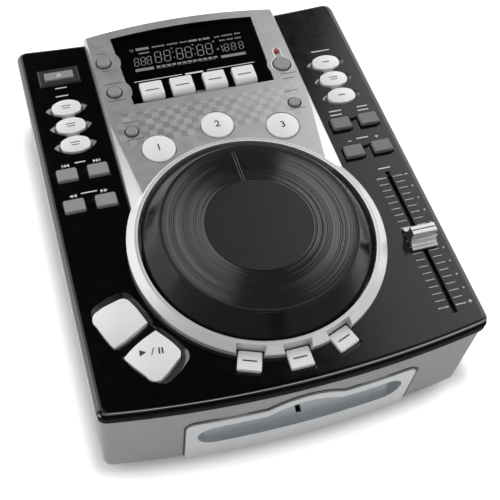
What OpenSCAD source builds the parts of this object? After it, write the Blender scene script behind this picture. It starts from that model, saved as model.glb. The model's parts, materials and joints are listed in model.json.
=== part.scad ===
// Tabletop disc player for a DJ booth, with a slot-loading drive and a turntable-style jog wheel.
// Millimetres, +X to the right, +Y to the rear, +Z up. The origin is the middle of the footprint,
// on the surface that the rubber feet stand on. Lengths named "from the front" are measured from
// the middle of the cover's front edge.

/* [Casing] */
// Width of the black cover
casing_w = 240; // [236:1:256]
// Depth of the black cover on its centre line
casing_l = 290.6; // [288:0.1:310]
// Height from the underside of the housing to the top of the cover
casing_h = 79; // [76:1:95]
// How far the middle of the front edge stands ahead of its corners
front_bow = 10; // [6:0.5:14]
// How far the middle of the rear edge stands ahead of its corners
rear_bow = 4.3; // [2:0.1:7]
// Corner radius of the cover seen from above
corner_r = 7; // [6:0.5:10]
// Wall thickness of the housing
housing_wall = 2.5; // [2:0.1:3]
// Step from the side of the cover in to the side of the housing
housing_step = 1.5; // [1.2:0.1:2]
// Height of the rubber feet
foot_h = 8; // [6:0.5:12]
// Radius of a rubber foot
foot_r = 12; // [9:0.5:15]
// Thickness of the steel bottom plate
plate_t = 1.5; // [1:0.1:2]

/* [Cover] */
// Height of the cover's side
cover_side = 9; // [8:0.5:12]
// Radius of the cover's upper edge
cover_edge_r = 4.5; // [2.5:0.5:5]
// Thickness of the cover's top
cover_t = 4; // [3.5:0.1:5]
// Thickness of the cover's skirt
cover_wall = 2.5; // [2:0.1:2.8]
// Depth of the glossy wells around the keys
well_depth = 2.2; // [1.6:0.1:2.6]

/* [Centre panel] */
// Width of the silver panel at its lower edge
panel_w = 142; // [138:1:146]
// Height of the panel above the cover
panel_h = 6.5; // [5.5:0.1:8]
// Height of the panel's upright edge, below its facets
panel_edge = 4; // [2.5:0.1:4.5]
// Thickness of the panel's top
panel_t = 2.5; // [2:0.1:3]
// How far the panel hangs over the rear of the cover, on the centre line
panel_overhang = 6.9; // [4:0.1:10]
// Bow of the panel's rear edge over the panel's width
panel_bow = 6.3; // [3:0.1:9]
// Width of the side facets at the rear
facet_rear = 1.5; // [1:0.1:2.5]
// Width of the side facets where they meet the jog ring
facet_front = 9.5; // [6:0.5:11]
// Distance from the front at which the facets start to widen
facet_from_front = 206; // [195:1:215]

/* [Jog wheel] */
// Distance from the front to the jog wheel's axis
jog_from_front = 99.4; // [98:0.1:104]
// Radius of the well that the platter turns in
jog_well_r = 73.8; // [72:0.1:75]
// Radius of the raised ring's crest
ring_crest_r = 77.2; // [76.4:0.1:77.6]
// Radius of the ring's lower edge
ring_foot_r = 81; // [80:0.1:82]
// Height of the ring's crest above the panel
ring_rise = 0.9; // [0.4:0.1:1.5]
// Clearance around the platter's rim
platter_gap = 1.8; // [1.2:0.1:2.2]
// Radius of the grooved disc on the platter
jog_disc_r = 60.5; // [58:0.5:63]
// Height of the grooved disc's top above the cover
jog_top = 18.5; // [17:0.5:21]
// Thickness of the grooved disc
jog_disc_t = 1.2; // [0.8:0.1:2]
// Diameter of the jog wheel's shaft
jog_shaft_d = 8; // [6:0.5:10]
// Running clearance of the shaft in its bush, on the radius
shaft_clear = 0.05; // [0.03:0.01:0.09]

/* [Keys] */
// Travel of every key
key_travel = 1; // [0.6:0.1:1]
// Clearance between a key and its hole
key_clear = 0.35; // [0.25:0.05:0.4]
// Width of the lip that keeps a key in
key_lip = 0.8; // [0.6:0.1:0.8]
// Thickness of that lip
key_lip_t = 1.2; // [0.8:0.1:1.2]
// Gap between the lip and the face that stops it
key_seat = 0.3; // [0.2:0.05:0.35]
// Distance from the centre line to the columns of three
trio_x = 94.4; // [94:0.1:95]
// Distance from the front to the middle key of a column
trio_from_front = 217; // [214:0.1:219]
// Spacing of the keys in a column
trio_pitch = 16.4; // [16.2:0.1:17]
// Width of a key in a column
trio_w = 19.9; // [18:0.1:21]
// Depth of a key in a column
trio_l = 13.4; // [12:0.1:14]
// Tip to tip width of a column's eye-shaped wells
trio_well_w = 28.4; // [27:0.1:29]
// Distance from the centre line to the inner keys of the small pairs
pair_in_x = 84.4; // [84:0.1:85]
// Distance from the centre line to the outer keys of the small pairs
pair_out_x = 104.6; // [104:0.1:105.2]
// Distance from the front to the rear pairs
pair_rear_from_front = 175.3; // [174:0.1:177]
// Distance from the front to the front pairs
pair_front_from_front = 150.3; // [149:0.1:152]
// Width of a key in the small pairs
pair_w = 13.2; // [12:0.1:14]
// Depth of a key in the small pairs
pair_l = 9.6; // [8:0.1:10]
// Distance of the eject key from the centre line
eject_x = 94.2; // [93.6:0.1:94.8]
// Distance from the front to the eject key
eject_from_front = 263; // [261:0.5:265]
// Width of the eject key
eject_w = 20.2; // [18:0.1:21]
// Depth of the eject key
eject_l = 7.4; // [6.5:0.1:8]
// Diameter of the three round cue keys
cue_d = 22; // [20:0.5:22.5]
// Distance from the jog axis to the round cue keys
cue_orbit = 90.8; // [90.4:0.1:92]
// Angle between neighbouring cue keys
cue_step = 28.2; // [26:0.1:29.5]
// Width of an effect key
effect_w = 15.7; // [14:0.1:16.5]
// Depth of an effect key
effect_l = 15; // [13:0.1:15.5]
// Spacing of two neighbouring effect keys
effect_pitch = 21.4; // [20.5:0.1:22]
// Extra space in the middle of the row of effect keys
effect_split = 2.2; // [0:0.1:3]
// Width of the three keys in front of the jog ring
brake_w = 14.2; // [12:0.1:15]
// Depth of the three keys in front of the jog ring
brake_l = 12.4; // [11:0.1:12.6]
// Distance from the jog axis to those three keys
brake_orbit = 83.4; // [83.3:0.1:84.4]
// Angle between neighbours of those three keys
brake_step = 20.2; // [18:0.1:22]

/* [Display] */
// Half width of the display window at its rear edge
window_rear_x = 53; // [50:0.5:54]
// Half width of the display window at its front edge
window_front_x = 50.2; // [48:0.2:51]
// Distance from the front to the window's front edge
window_from_front = 220.8; // [219:0.1:221.5]
// Depth of the window on the centre line
window_l = 68; // [62:0.5:69]
// Thickness of the window's lens
lens_t = 1.5; // [1:0.1:2]

/* [Pitch fader] */
// Distance from the centre line to the fader slot
fader_x = 100.6; // [100:0.1:101]
// Distance from the front to the middle of the slot
fader_from_front = 75.5; // [75:0.1:77]
// Travel of the fader cap, end to end
fader_travel = 100; // [80:5:102]
// Width of the fader slot
fader_slot_w = 3; // [2.6:0.1:3.6]
// Width of the fader cap
cap_w = 17.2; // [15:0.1:18]
// Length of the fader cap
cap_l = 16.8; // [15:0.1:18]
// Height of the fader cap
cap_h = 11.6; // [9:0.1:13]
// Length of the cap's ridge
ridge_l = 6.6; // [4:0.1:8]

/* [Disc mouth] */
// Offset of the disc mouth and the drive from the centre line
mouth_x = 3; // [0:0.5:4]
// Width of the bright bezel
bezel_w = 146; // [144:1:150]
// Height of the bezel's top edge above its foot, beside the arch
bezel_h = 51.5; // [50:0.5:53]
// Width of the opening in the bezel
mouth_w = 132; // [131:0.5:134]
// Height of the opening beside the arch
mouth_h = 23.5; // [22:0.5:24]
// Rise of the arch in the middle
arch_rise = 9; // [5:0.5:9.5]
// Depth of the finger scoop
scoop_depth = 18; // [15:0.5:20]
// Width of the disc slot
slot_w = 126; // [124.5:0.5:128]
// Height of the disc slot
slot_h = 5.6; // [5:0.1:6]
// Height of the disc slot's lower edge above the floor
slot_z = 45.7; // [44:0.1:46]

/* [Drive] */
// Distance from the front to the spindle
spindle_from_front = 92; // [90:0.5:96]
// Width of the drive's frame
drive_w = 141; // [138:0.5:142]
// Thickness of the drive's sheet metal
sheet_t = 1.2; // [1:0.1:1.5]
// Radius of the feed roller
roller_r = 4; // [3.5:0.1:4.3]
// Travel of the laser sled
sled_travel = 34; // [30:1:35]
// Diameter of the sled's guide rods
rod_d = 3; // [2.5:0.5:4]

/* [Hidden] */

$fn = 64;
eps = 0.01;

// Levels
case_z = foot_h;
top_z = case_z + casing_h;
cover_foot_z = top_z - cover_side;
under_z = top_z - cover_t;
panel_z = top_z + panel_h;
panel_edge_z = top_z + panel_edge;
panel_under_z = panel_z - panel_t;
jog_top_z = top_z + jog_top;

// Plan
total_l = casing_l + panel_overhang;
function from_front(d) = d - total_l / 2;
jog_y = from_front(jog_from_front);
front_r = (pow(casing_w / 2, 2) + pow(front_bow, 2)) / (2 * front_bow);
rear_r = (pow(casing_w / 2, 2) + pow(rear_bow, 2)) / (2 * rear_bow);
front_c = from_front(0) + front_r;
rear_c = from_front(casing_l) + rear_r;
corner_x = casing_w / 2 - corner_r;
front_t = asin(corner_x / (front_r - corner_r));
rear_t = asin(corner_x / (rear_r + corner_r));
front_corner_y = front_c - (front_r - corner_r) * cos(front_t);
rear_corner_y = rear_c - (rear_r + corner_r) * cos(rear_t);

// Clearances and small standard sizes
fit = 0.3;
board_t = 1.6;
switch_h = 3.5;
plunger_h = 0.8;
stem_r = 2;
screw_r = 1.5;
lip_h = 3;

function arc(c, r, a, b, n) = [for (i = [0 : n]) c + r * [cos(a + (b - a) * i / n), sin(a + (b - a) * i / n)]];
function mirrored(p) = [for (i = [len(p) - 1 : -1 : 0]) [-p[i][0], p[i][1]]];

// Outline of the casing seen from above, moved in by e
front_steps = 22;
rear_steps = 10;
corner_steps = 5;
function right_half(e) = concat(
    arc([corner_x, front_corner_y], corner_r - e, -90 + front_t, 0, corner_steps),
    arc([corner_x, rear_corner_y], corner_r - e, 0, 90 + rear_t, corner_steps)
);
function casing_outline(e) = concat(
    [for (i = [1 : front_steps - 1]) let (t = front_t * (2 * i / front_steps - 1))
        [(front_r - e) * sin(t), front_c - (front_r - e) * cos(t)]],
    right_half(e),
    [for (i = [1 : rear_steps - 1]) let (t = rear_t * (1 - 2 * i / rear_steps))
        [(rear_r + e) * sin(t), rear_c - (rear_r + e) * cos(t)]],
    mirrored(right_half(e))
);

// Solid through a list of rings, each [height, outline], with the same number of points in each
module loft(rings) {
    n = len(rings[0][1]);
    m = len(rings);
    points = [for (ring = rings) for (p = ring[1]) [p[0], p[1], ring[0]]];
    sides = [for (j = [0 : m - 2]) for (i = [0 : n - 1]) let (k = (i + 1) % n, a = j * n, b = a + n)
        each [[a + i, b + i, b + k], [a + i, b + k, a + k]]];
    foot = [for (i = [0 : n - 1]) i];
    head = [for (i = [n - 1 : -1 : 0]) (m - 1) * n + i];
    polyhedron(points, concat(sides, [foot], [head]), convexity = 6);
}

module casing_slab(e, z0, z1) {
    translate([0, 0, z0]) linear_extrude(z1 - z0) polygon(casing_outline(e));
}

module rounded(w, l, r) {
    square([w - 2 * r, l], center = true);
    square([w, l - 2 * r], center = true);
    for (x = [-1, 1]) for (y = [-1, 1]) translate([x * (w / 2 - r), y * (l / 2 - r)]) circle(r, $fn = 24);
}

// Eye shape: two equal arcs that meet in points
module eye(w, l) {
    r = (w * w + l * l) / (4 * l);
    intersection() {
        translate([0, l / 2 - r]) circle(r);
        translate([0, r - l / 2]) circle(r);
    }
}

module at_jog() {
    translate([0, jog_y, 0]) children();
}

// ---------------------------------------------------------------- key shapes, seen from above
trio_rows = [trio_from_front + trio_pitch, trio_from_front, trio_from_front - trio_pitch];
trio_eye = 25.4;
pair_r = 1.2;
brake_r = 1;
small_key_d = 9.4;
tiny_key_d = 7.9;
tap_d = 12;
time_at = [-62.2, 262.9];
play_mode_at = [-60.6, 234.3];
cue_mode_at = [-57, 197.4];
cue_set_at = [57.4, 197.4];
tap_at = [60.3, 233.8];
lamp_at = [60.6, 247.3];
effect_from_front = 230.6;
effect_first_x = -35;
// Outline of the play key: distance from the jog axis, and distance from the pair's middle line
play_corners = concat(
    [[88.7, 3.5], [98, 3.2], [106, 3.3], [113.5, 4.2], [113.7, 7], [113.4, 12], [112.8, 17]],
    arc([106.2, 22.6], 6, -10, 80, 8), [[101.4, 28.1], [96.4, 27]], arc([91.9, 21.2], 4.8, 105, 185, 7),
    [[87.3, 15.5], [88, 9.5]]
);
// The well round it, wider beside the ring and at the end
play_well = concat(
    [[86.5, 0], [85.5, 3.5], [84.4, 10], [83.6, 18]], arc([90.2, 23.9], 6.7, 190, 115, 7), [[95, 32]],
    arc([103.3, 25.6], 7, 95, 15, 8), [[112.7, 20.5], [114.3, 12], [114.4, 3.4], [112.4, 2.6], [112, 0]]
);
play_middle = [100.5, 15.5];
transport_turn = 208.8;

module trio_shape(grow = 0) {
    r = trio_l / 2 - 0.1;
    intersection() {
        eye(trio_eye + 2 * grow, trio_l + 2 * grow);
        hull() for (s = [-1, 1]) translate([s * (trio_w / 2 - r), 0]) circle(r + grow, $fn = 48);
    }
}

module pair_shape(grow = 0) {
    rounded(pair_w + 2 * grow, pair_l + 2 * grow, pair_r);
}

module effect_shape(grow = 0) {
    rounded(effect_w + 2 * grow, effect_l + 2 * grow, pair_r);
}

module brake_shape(grow = 0) {
    rounded(brake_w + 2 * grow, brake_l + 2 * grow, brake_r);
}

module play_shape(grow = 0) {
    offset(delta = grow) polygon(play_corners);
}

module on_brake_key(i) {
    at_jog() rotate(i * brake_step) translate([0, -brake_orbit, 0]) children();
}

module on_cue_key(i) {
    at_jog() rotate(-i * cue_step) translate([0, cue_orbit, 0]) children();
}

// side = 1 for the play key, -1 for the cue key
module on_transport_key(side) {
    at_jog() rotate(transport_turn) mirror([0, side < 0 ? 1 : 0, 0]) children();
}

module on_plan(at) {
    translate([at[0], from_front(at[1]), 0]) children();
}

function effect_at(i) = [effect_first_x + i * effect_pitch + (i > 1 ? effect_split : 0), effect_from_front];

// ---------------------------------------------------------------- keys
// A key's hidden part: a lip under the panel that keeps it in, and a stem over its switch.
// The children are the lip's outline.
module key_root(face_z, stem_at = [0, 0]) {
    lip_top = face_z - key_seat;
    translate([0, 0, lip_top - key_lip_t]) linear_extrude(key_lip_t) children();
    translate([stem_at[0], stem_at[1], lip_top - key_lip_t - stem_l]) cylinder(r = stem_r, h = stem_l + eps);
}
stem_l = 0.9;
chamfer = 0.7;

module trio_key(at, colour) {
    rise = 1.9;
    crown_r = 50;
    color(colour) on_plan(at) {
        intersection() {
            translate([0, 0, under_z - key_seat - key_lip_t]) linear_extrude(cover_t + rise + 4) trio_shape();
            translate([0, 0, top_z + rise - crown_r]) sphere(crown_r, $fn = 96);
        }
        key_root(under_z) intersection() {
            eye(trio_eye + 2 * key_lip + 4, trio_l + 2 * key_lip);
            square([trio_w + 2 * key_lip + 2, trio_l + 2 * key_lip], center = true);
        }
    }
}

// Straight-sided key with a bevelled top; the first child is the outline, the second its lip
module block_key(face_z, foot_z, head_z) {
    translate([0, 0, foot_z]) linear_extrude(head_z - foot_z - chamfer) children(0);
    translate([0, 0, head_z - chamfer - eps]) linear_extrude(chamfer + eps)
        offset(delta = -chamfer / 2) children(0);
    key_root(face_z) children(1);
}

module pair_key(at) {
    rise = 3.4;
    color("dimgray") on_plan(at) block_key(under_z, under_z - key_seat - key_lip_t, top_z + rise) {
        pair_shape();
        pair_shape(key_lip);
    }
}

module round_key(at, d, rise, colour) {
    foot = panel_under_z - key_seat - key_lip_t;
    color(colour) on_plan(at) {
        rotate_extrude() polygon([
            [0, foot], [d / 2, foot], [d / 2, panel_z + rise - chamfer],
            [d / 2 - chamfer, panel_z + rise], [0, panel_z + rise]
        ]);
        key_root(panel_under_z) circle(d / 2 + key_lip);
    }
}

module cue_number_key(i) {
    rise = 1.4;
    crown_r = 70;
    foot = panel_under_z - key_seat - key_lip_t;
    color("white") on_cue_key(i) {
        intersection() {
            translate([0, 0, foot]) cylinder(d = cue_d, h = panel_t + 8);
            translate([0, 0, panel_z + rise - crown_r]) sphere(crown_r, $fn = 96);
        }
        key_root(panel_under_z) circle(cue_d / 2 + key_lip);
    }
}

// Tall key whose front edge rolls over, standing in the display window
module effect_key(i) {
    rise = 0.8;
    roll = 5;
    under = panel_under_z - lens_t;
    foot = under - key_seat - key_lip_t;
    head = panel_z + rise;
    color("white") on_plan(effect_at(i)) {
        intersection() {
            translate([0, 0, foot]) linear_extrude(head - foot) effect_shape();
            rotate([90, 0, 90]) linear_extrude(effect_w + 2, center = true) union() {
                translate([-effect_l / 2 + roll, foot]) square([effect_l - roll, head - foot]);
                translate([-effect_l / 2, foot]) square([effect_l, head - foot - roll]);
                translate([-effect_l / 2 + roll, head - roll]) circle(roll, $fn = 48);
            }
        }
        key_root(under) effect_shape(key_lip);
    }
}

module brake_row_key(i) {
    rise = 1.1;
    color("white") on_brake_key(i) block_key(under_z, under_z - key_seat - key_lip_t, top_z + rise) {
        brake_shape();
        brake_shape(key_lip);
    }
}

// Cue or play key: a cushion with a domed top
module transport_key(side) {
    rise = 2.9;
    crown_r = 62;
    foot = under_z - key_seat - key_lip_t;
    color("white") on_transport_key(side) {
        intersection() {
            translate([0, 0, foot]) linear_extrude(top_z + rise - foot) play_shape();
            translate([play_middle[0], play_middle[1], top_z + rise - crown_r]) sphere(crown_r, $fn = 96);
        }
        key_root(under_z, play_middle) play_shape(key_lip);
    }
}

frame_rise = 1.8;
frame_edge = 4;
module eject_key() {
    foot = under_z - key_seat - key_lip_t;
    color("gray") on_plan([-eject_x, eject_from_front]) block_key(under_z, foot, top_z + frame_rise + 0.6) {
        rounded(eject_w, eject_l, 0.6);
        rounded(eject_w + 2 * key_lip, eject_l + 2 * key_lip, 0.6);
    }
}

// ---------------------------------------------------------------- cover and its fittings
// Raised frame of the eject key, bevelled on the outside
module eject_frame() {
    w = eject_w + 2 * frame_edge;
    l = eject_l + 2 * frame_edge;
    color([0.2, 0.2, 0.21]) on_plan([-eject_x, eject_from_front]) difference() {
        hull() {
            translate([0, 0, top_z]) linear_extrude(0.6) square([w, l], center = true);
            translate([0, 0, top_z + frame_rise - 0.1]) linear_extrude(0.1)
                square([w - 2, l - 2], center = true);
        }
        translate([0, 0, top_z - 1]) linear_extrude(frame_rise + 2)
            rounded(eject_w + 2 * key_clear, eject_l + 2 * key_clear, 0.6);
    }
}

// Three eyes joined by a neck, hollow like a dish: deep under the keys and shallow at the tips
module trio_well(x) {
    neck_w = 9;
    depth = 2.9;
    tip = 0.25;
    dish_r = pow(trio_well_w / 2, 2) / 2 / (depth - tip);
    translate([x, from_front(trio_from_front), top_z]) intersection() {
        translate([0, 0, -depth - 1]) linear_extrude(depth + 2) {
            for (i = [-1 : 1]) translate([0, i * trio_pitch]) eye(trio_well_w, trio_l + 2);
            square([neck_w, 2 * trio_pitch], center = true);
        }
        translate([0, 0, dish_r - depth]) rotate([90, 0, 0])
            cylinder(r = dish_r, h = 3 * trio_pitch, center = true, $fn = 192);
    }
}

pair_well_grow = 0.9;
pair_bridge_l = 3;
module pair_well(side, row) {
    for (x = [pair_in_x, pair_out_x]) translate([side * x, from_front(row)]) pair_shape(pair_well_grow);
    translate([side * (pair_in_x + pair_out_x) / 2, from_front(row) + pair_l / 2 - pair_bridge_l / 2])
        square([pair_out_x - pair_in_x, pair_bridge_l], center = true);
}

transport_neck_w = 9;
transport_neck = [play_well[0][0] + 1, 112];
module transport_wells() {
    for (side = [-1, 1]) on_transport_key(side) polygon(play_well);
    on_transport_key(1) translate([transport_neck[0], -transport_neck_w / 2])
        square([transport_neck[1] - transport_neck[0], transport_neck_w]);
}

brake_well_front = 2.4;
brake_well_side = 0.7;
brake_well_rear = 0.7;
module brake_well(i) {
    on_brake_key(i) translate([-brake_w / 2 - brake_well_side, -brake_l / 2 - brake_well_front])
        square([brake_w + 2 * brake_well_side, brake_l + brake_well_front + brake_well_rear]);
}

module through(z0, z1) {
    translate([0, 0, z0]) linear_extrude(z1 - z0) children();
}

boss_r = 3.6;
boss_x = casing_w / 2 - 8.7;
boss_at = [for (x = [boss_x, -boss_x]) for (d = [18, 132, 278]) [x, d]];
boss_joint_z = 70;
boss_bore_l = 8;

// Region under the panel where the cover is open for the display and the panel's keys
panel_seat = 6;
module panel_bay() {
    y0 = jog_y + 40;
    y1 = from_front(casing_l) - 6;
    difference() {
        translate([-panel_w / 2 + panel_seat, y0]) square([panel_w - 2 * panel_seat, y1 - y0]);
        translate([0, jog_y]) circle(ring_foot_r + 1.5);
    }
    for (i = [-1 : 1]) on_cue_key(i) circle(cue_d / 2 + key_lip + fit);
    for (p = [time_at, play_mode_at]) on_plan(p) circle(small_key_d / 2 + key_lip + fit);
    on_plan(tap_at) circle(tap_d / 2 + key_lip + fit);
}

// Top cover: a shell with a rounded edge, glossy wells and a hole for every key
module top_cover() {
    turns = 4;
    rings = concat(
        [[cover_foot_z, casing_outline(0)]],
        [for (i = [0 : turns]) let (a = 90 * i / turns)
            [top_z - cover_edge_r * (1 - sin(a)), casing_outline(cover_edge_r * (1 - cos(a)))]]
    );
    slot_l = fader_travel + 9.5;
    color([0.05, 0.05, 0.055]) difference() {
        union() {
            difference() {
                loft(rings);
                casing_slab(cover_wall, cover_foot_z - 1, under_z);
            }
            for (p = boss_at) on_plan(p) translate([0, 0, boss_joint_z])
                cylinder(r = boss_r, h = under_z - boss_joint_z + eps);
        }
        for (p = boss_at) on_plan(p) translate([0, 0, boss_joint_z - 1])
            cylinder(r = screw_r, h = boss_bore_l + 1);
        through(under_z - 1, top_z + 1) {
            panel_bay();
            translate([0, jog_y]) circle(jog_well_r, $fn = 128);
            for (x = [-trio_x, trio_x]) for (row = trio_rows) on_plan([x, row]) trio_shape(key_clear);
            for (side = [-1, 1]) for (row = [pair_rear_from_front, pair_front_from_front])
                for (x = [pair_in_x, pair_out_x]) on_plan([side * x, row]) pair_shape(key_clear);
            for (i = [-1 : 1]) on_brake_key(i) brake_shape(key_clear);
            for (side = [-1, 1]) on_transport_key(side) play_shape(key_clear);
            on_plan([-eject_x, eject_from_front])
                rounded(eject_w + 2 * key_clear, eject_l + 2 * key_clear, 0.6);
            on_plan([fader_x, fader_from_front]) square([fader_slot_w, slot_l], center = true);
        }
        trio_well(-trio_x);
        trio_well(trio_x);
        through(top_z - well_depth, top_z + 1) {
            for (side = [-1, 1]) for (row = [pair_rear_from_front, pair_front_from_front]) pair_well(side, row);
            transport_wells();
        }
        through(top_z - well_depth, top_z + 1) for (i = [-1 : 1]) brake_well(i);
    }
}

// ---------------------------------------------------------------- silver centre panel
panel_rear_y = from_front(casing_l + panel_overhang);
panel_rear_r = (pow(panel_w / 2, 2) + pow(panel_bow, 2)) / (2 * panel_bow);
panel_steps = 10;
panel_turn = asin(panel_w / 2 / panel_rear_r);
panel_rear_c = panel_rear_y - panel_rear_r;
// Rear edge as chords of an arc, moved in by e; the end chords run on to x = half
function panel_arc_point(i, e) = let (t = panel_turn * (1 - 2 * i / panel_steps))
    [(panel_rear_r - e) * sin(t), panel_rear_c + (panel_rear_r - e) * cos(t)];
function panel_end(half, e) = let (a = panel_arc_point(0, e), b = panel_arc_point(1, e))
    a[1] + (b[1] - a[1]) * (half - a[0]) / (b[0] - a[0]);
function panel_rear(half, e) = concat(
    [[half, panel_end(half, e)]], [for (i = [1 : panel_steps - 1]) panel_arc_point(i, e)],
    [[-half, panel_end(half, e)]]
);
meet_y = jog_y + sqrt(pow(ring_foot_r, 2) - pow(panel_w / 2, 2));
meet_in_y = jog_y + sqrt(pow(ring_crest_r, 2) - pow(panel_w / 2 - facet_front, 2));
facet_y = from_front(facet_from_front);
// The slab runs on into the ring by these lengths, so that the two are one solid
low_sink = 9;
high_sink = 4.5;
module panel_slope() {
    half = panel_w / 2;
    low_y = meet_y - low_sink;
    high_y = meet_in_y - high_sink;
    high_x = half - facet_front - high_sink * (facet_front - facet_rear) / (facet_y - meet_in_y);
    low = concat([[-half, low_y], [half, low_y]], panel_rear(half, 0));
    high = concat(
        [[-half + facet_rear, facet_y], [-high_x, high_y], [high_x, high_y], [half - facet_rear, facet_y]],
        panel_rear(half - facet_rear, facet_rear)
    );
    skin = 0.05;
    hull() {
        translate([0, 0, top_z]) linear_extrude(panel_edge) polygon(low);
        translate([0, 0, panel_z - skin]) linear_extrude(skin) polygon(high);
    }
}

// Raised ring around the jog well: a wide outer slope, a flat band and a bead at the well's edge
ring_top_r = ring_crest_r - 1.2;
bead_r = jog_well_r + 0.8;
module jog_ring() {
    inner_r = jog_well_r - 2;
    crest_z = panel_z + ring_rise;
    at_jog() rotate_extrude($fn = 128) polygon([
        [inner_r, top_z], [ring_foot_r, top_z], [ring_foot_r, panel_edge_z],
        [ring_top_r + 0.5, crest_z - 0.35], [ring_top_r, crest_z - 0.1],
        [ring_top_r - 0.3, crest_z - 0.4], [bead_r, crest_z - 0.4], [bead_r - 0.35, crest_z], [inner_r, crest_z]
    ]);
}

pad_r = 12;
tap_pad_r = 10.6;
window_rear_r = 420;
// Opening of the display window: sides that lean in, and pads that stay round the small keys
module window_shape(grow = 0) {
    y0 = from_front(window_from_front) - grow;
    y1 = from_front(window_from_front + window_l);
    difference() {
        intersection() {
            polygon([
                [-window_front_x - grow, y0], [window_front_x + grow, y0],
                [window_rear_x + grow, y1 + grow], [-window_rear_x - grow, y1 + grow]
            ]);
            translate([0, y1 - window_rear_r]) circle(window_rear_r + grow, $fn = 360);
        }
        if (grow == 0) {
            for (p = [time_at, play_mode_at]) on_plan(p) circle(pad_r);
            on_plan(tap_at) circle(tap_pad_r);
        }
    }
}

tap_recess_r = 7.5;
lamp_recess_r = 3.2;
recess = 0.9;
module tap_recess() {
    neck_w = 3.6;
    on_plan(tap_at) circle(tap_recess_r);
    on_plan(lamp_at) circle(lamp_recess_r);
    on_plan([(tap_at[0] + lamp_at[0]) / 2, (tap_at[1] + lamp_at[1]) / 2])
        square([neck_w, lamp_at[1] - tap_at[1]], center = true);
}

// Centre panel: facetted shell with the jog ring, the display opening and the round key holes
module centre_panel() {
    small_recess = 0.9;
    cue_recess = 0.8;
    color("silver") difference() {
        union() {
            panel_slope();
            jog_ring();
        }
        at_jog() translate([0, 0, top_z - 1]) cylinder(r = jog_well_r, h = panel_h + 5, $fn = 128);
        through(top_z - 1, panel_under_z) panel_bay();
        through(top_z - 1, panel_z + 2) {
            window_shape();
            for (i = [-1 : 1]) on_cue_key(i) circle(cue_d / 2 + key_clear);
            for (p = [time_at, play_mode_at]) on_plan(p) circle(small_key_d / 2 + key_clear);
            for (p = [cue_mode_at, cue_set_at]) on_plan(p) circle(tiny_key_d / 2 + key_clear);
            on_plan(tap_at) circle(tap_d / 2 + key_clear);
            on_plan(lamp_at) circle(lamp_r + 0.1);
        }
        through(panel_z - recess, panel_z + 2) {
            tap_recess();
            for (i = [-1 : 1]) on_cue_key(i) circle(cue_d / 2 + key_clear + cue_recess);
            for (p = [time_at, play_mode_at]) on_plan(p) circle(small_key_d / 2 + small_recess);
            for (p = [cue_mode_at, cue_set_at]) on_plan(p) circle(tiny_key_d / 2 + small_recess);
        }
        for (i = [-1 : 1]) on_brake_key(i) hull() {
            translate([-brake_w / 2 - brake_well_side, -brake_l, top_z - 1])
                cube([brake_w + 2 * brake_well_side, brake_l * 1.5 + brake_well_rear, 1.5]);
            translate([-brake_w / 2 - 2, -brake_l, panel_z + 2])
                cube([brake_w + 4, brake_l * 1.5 + brake_well_rear + 0.6, 1]);
        }
    }
}

module display_window() {
    keys = key_clear;
    color([0.02, 0.02, 0.025]) difference() {
        through(panel_under_z - lens_t, panel_under_z) intersection() {
            window_shape(2.5);
            panel_bay();
        }
        for (i = [0 : 3]) on_plan(effect_at(i)) through(panel_under_z - lens_t - 1, panel_under_z + 1)
            effect_shape(keys);
        for (p = [time_at, play_mode_at]) on_plan(p)
            through(panel_under_z - lens_t - 1, panel_under_z + 1) circle(small_key_d / 2 + 2);
        on_plan(tap_at) through(panel_under_z - lens_t - 1, panel_under_z + 1) circle(tap_d / 2 + 2);
    }
}

lamp_r = 1.6;
// Small dome lamp, standing on the display board
module beat_lamp() {
    board_top = panel_board_z + board_t;
    color("red") on_plan(lamp_at) rotate_extrude() polygon(concat(
        [[0, board_top], [lamp_r, board_top]],
        arc([0, panel_z - 0.5], lamp_r, 0, 90, 6)
    ));
}

// ---------------------------------------------------------------- switch boards
key_switch_gap = 0.3;
function board_under(face_z) =
    face_z - key_seat - key_lip_t - stem_l - key_travel - key_switch_gap - plunger_h - switch_h - board_t;
cover_board_z = board_under(under_z);
panel_board_z = board_under(panel_under_z - lens_t);
panel_post = lens_t;

module key_switch(extra = 0) {
    translate([-3, -3, -eps]) cube([6, 6, switch_h + extra + eps]);
    translate([0, 0, switch_h + extra - eps]) cylinder(r = 1.75, h = plunger_h + eps, $fn = 24);
}

// Board under the centre panel: switches, and the display tube behind its lens
tube_l = 36;
board_w = panel_w - 2 * panel_seat - 1;
module display_board() {
    board_top = panel_board_z + board_t;
    tube_y = from_front(window_from_front + window_l - 6) - tube_l;
    color("darkgreen") difference() {
        through(panel_board_z, board_top) difference() {
            intersection() {
                panel_bay();
                translate([-board_w / 2, jog_y]) square([board_w, total_l]);
            }
            translate([0, jog_y]) circle(ear_orbit + 5);
        }
        for (x = [-1, 1]) translate([x * board_screw_x, from_front(board_screw_from_front), panel_board_z - 1])
            cylinder(r = screw_r, h = board_t + 2);
    }
    color("darkgreen") translate([0, 0, board_top]) {
        for (i = [0 : 3]) on_plan(effect_at(i)) key_switch();
        for (i = [-1 : 1]) on_cue_key(i) key_switch(panel_post);
        for (p = [time_at, play_mode_at, cue_mode_at, cue_set_at, tap_at]) on_plan(p) key_switch(panel_post);
    }
    color([0.1, 0.12, 0.1]) translate([-45, tube_y, board_top - eps])
        cube([90, tube_l, panel_under_z - lens_t - board_top - fit + eps]);
    color("darkgreen") for (x = [-1, 1]) translate([x * board_screw_x, from_front(board_screw_from_front), 0])
        difference() {
            translate([0, 0, board_top - eps]) cylinder(r = 3.2, h = panel_under_z - board_top + eps);
            translate([0, 0, panel_board_z - 1]) cylinder(r = screw_r, h = 8);
        }
}
board_screw_x = 58;
board_screw_from_front = 215;

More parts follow.
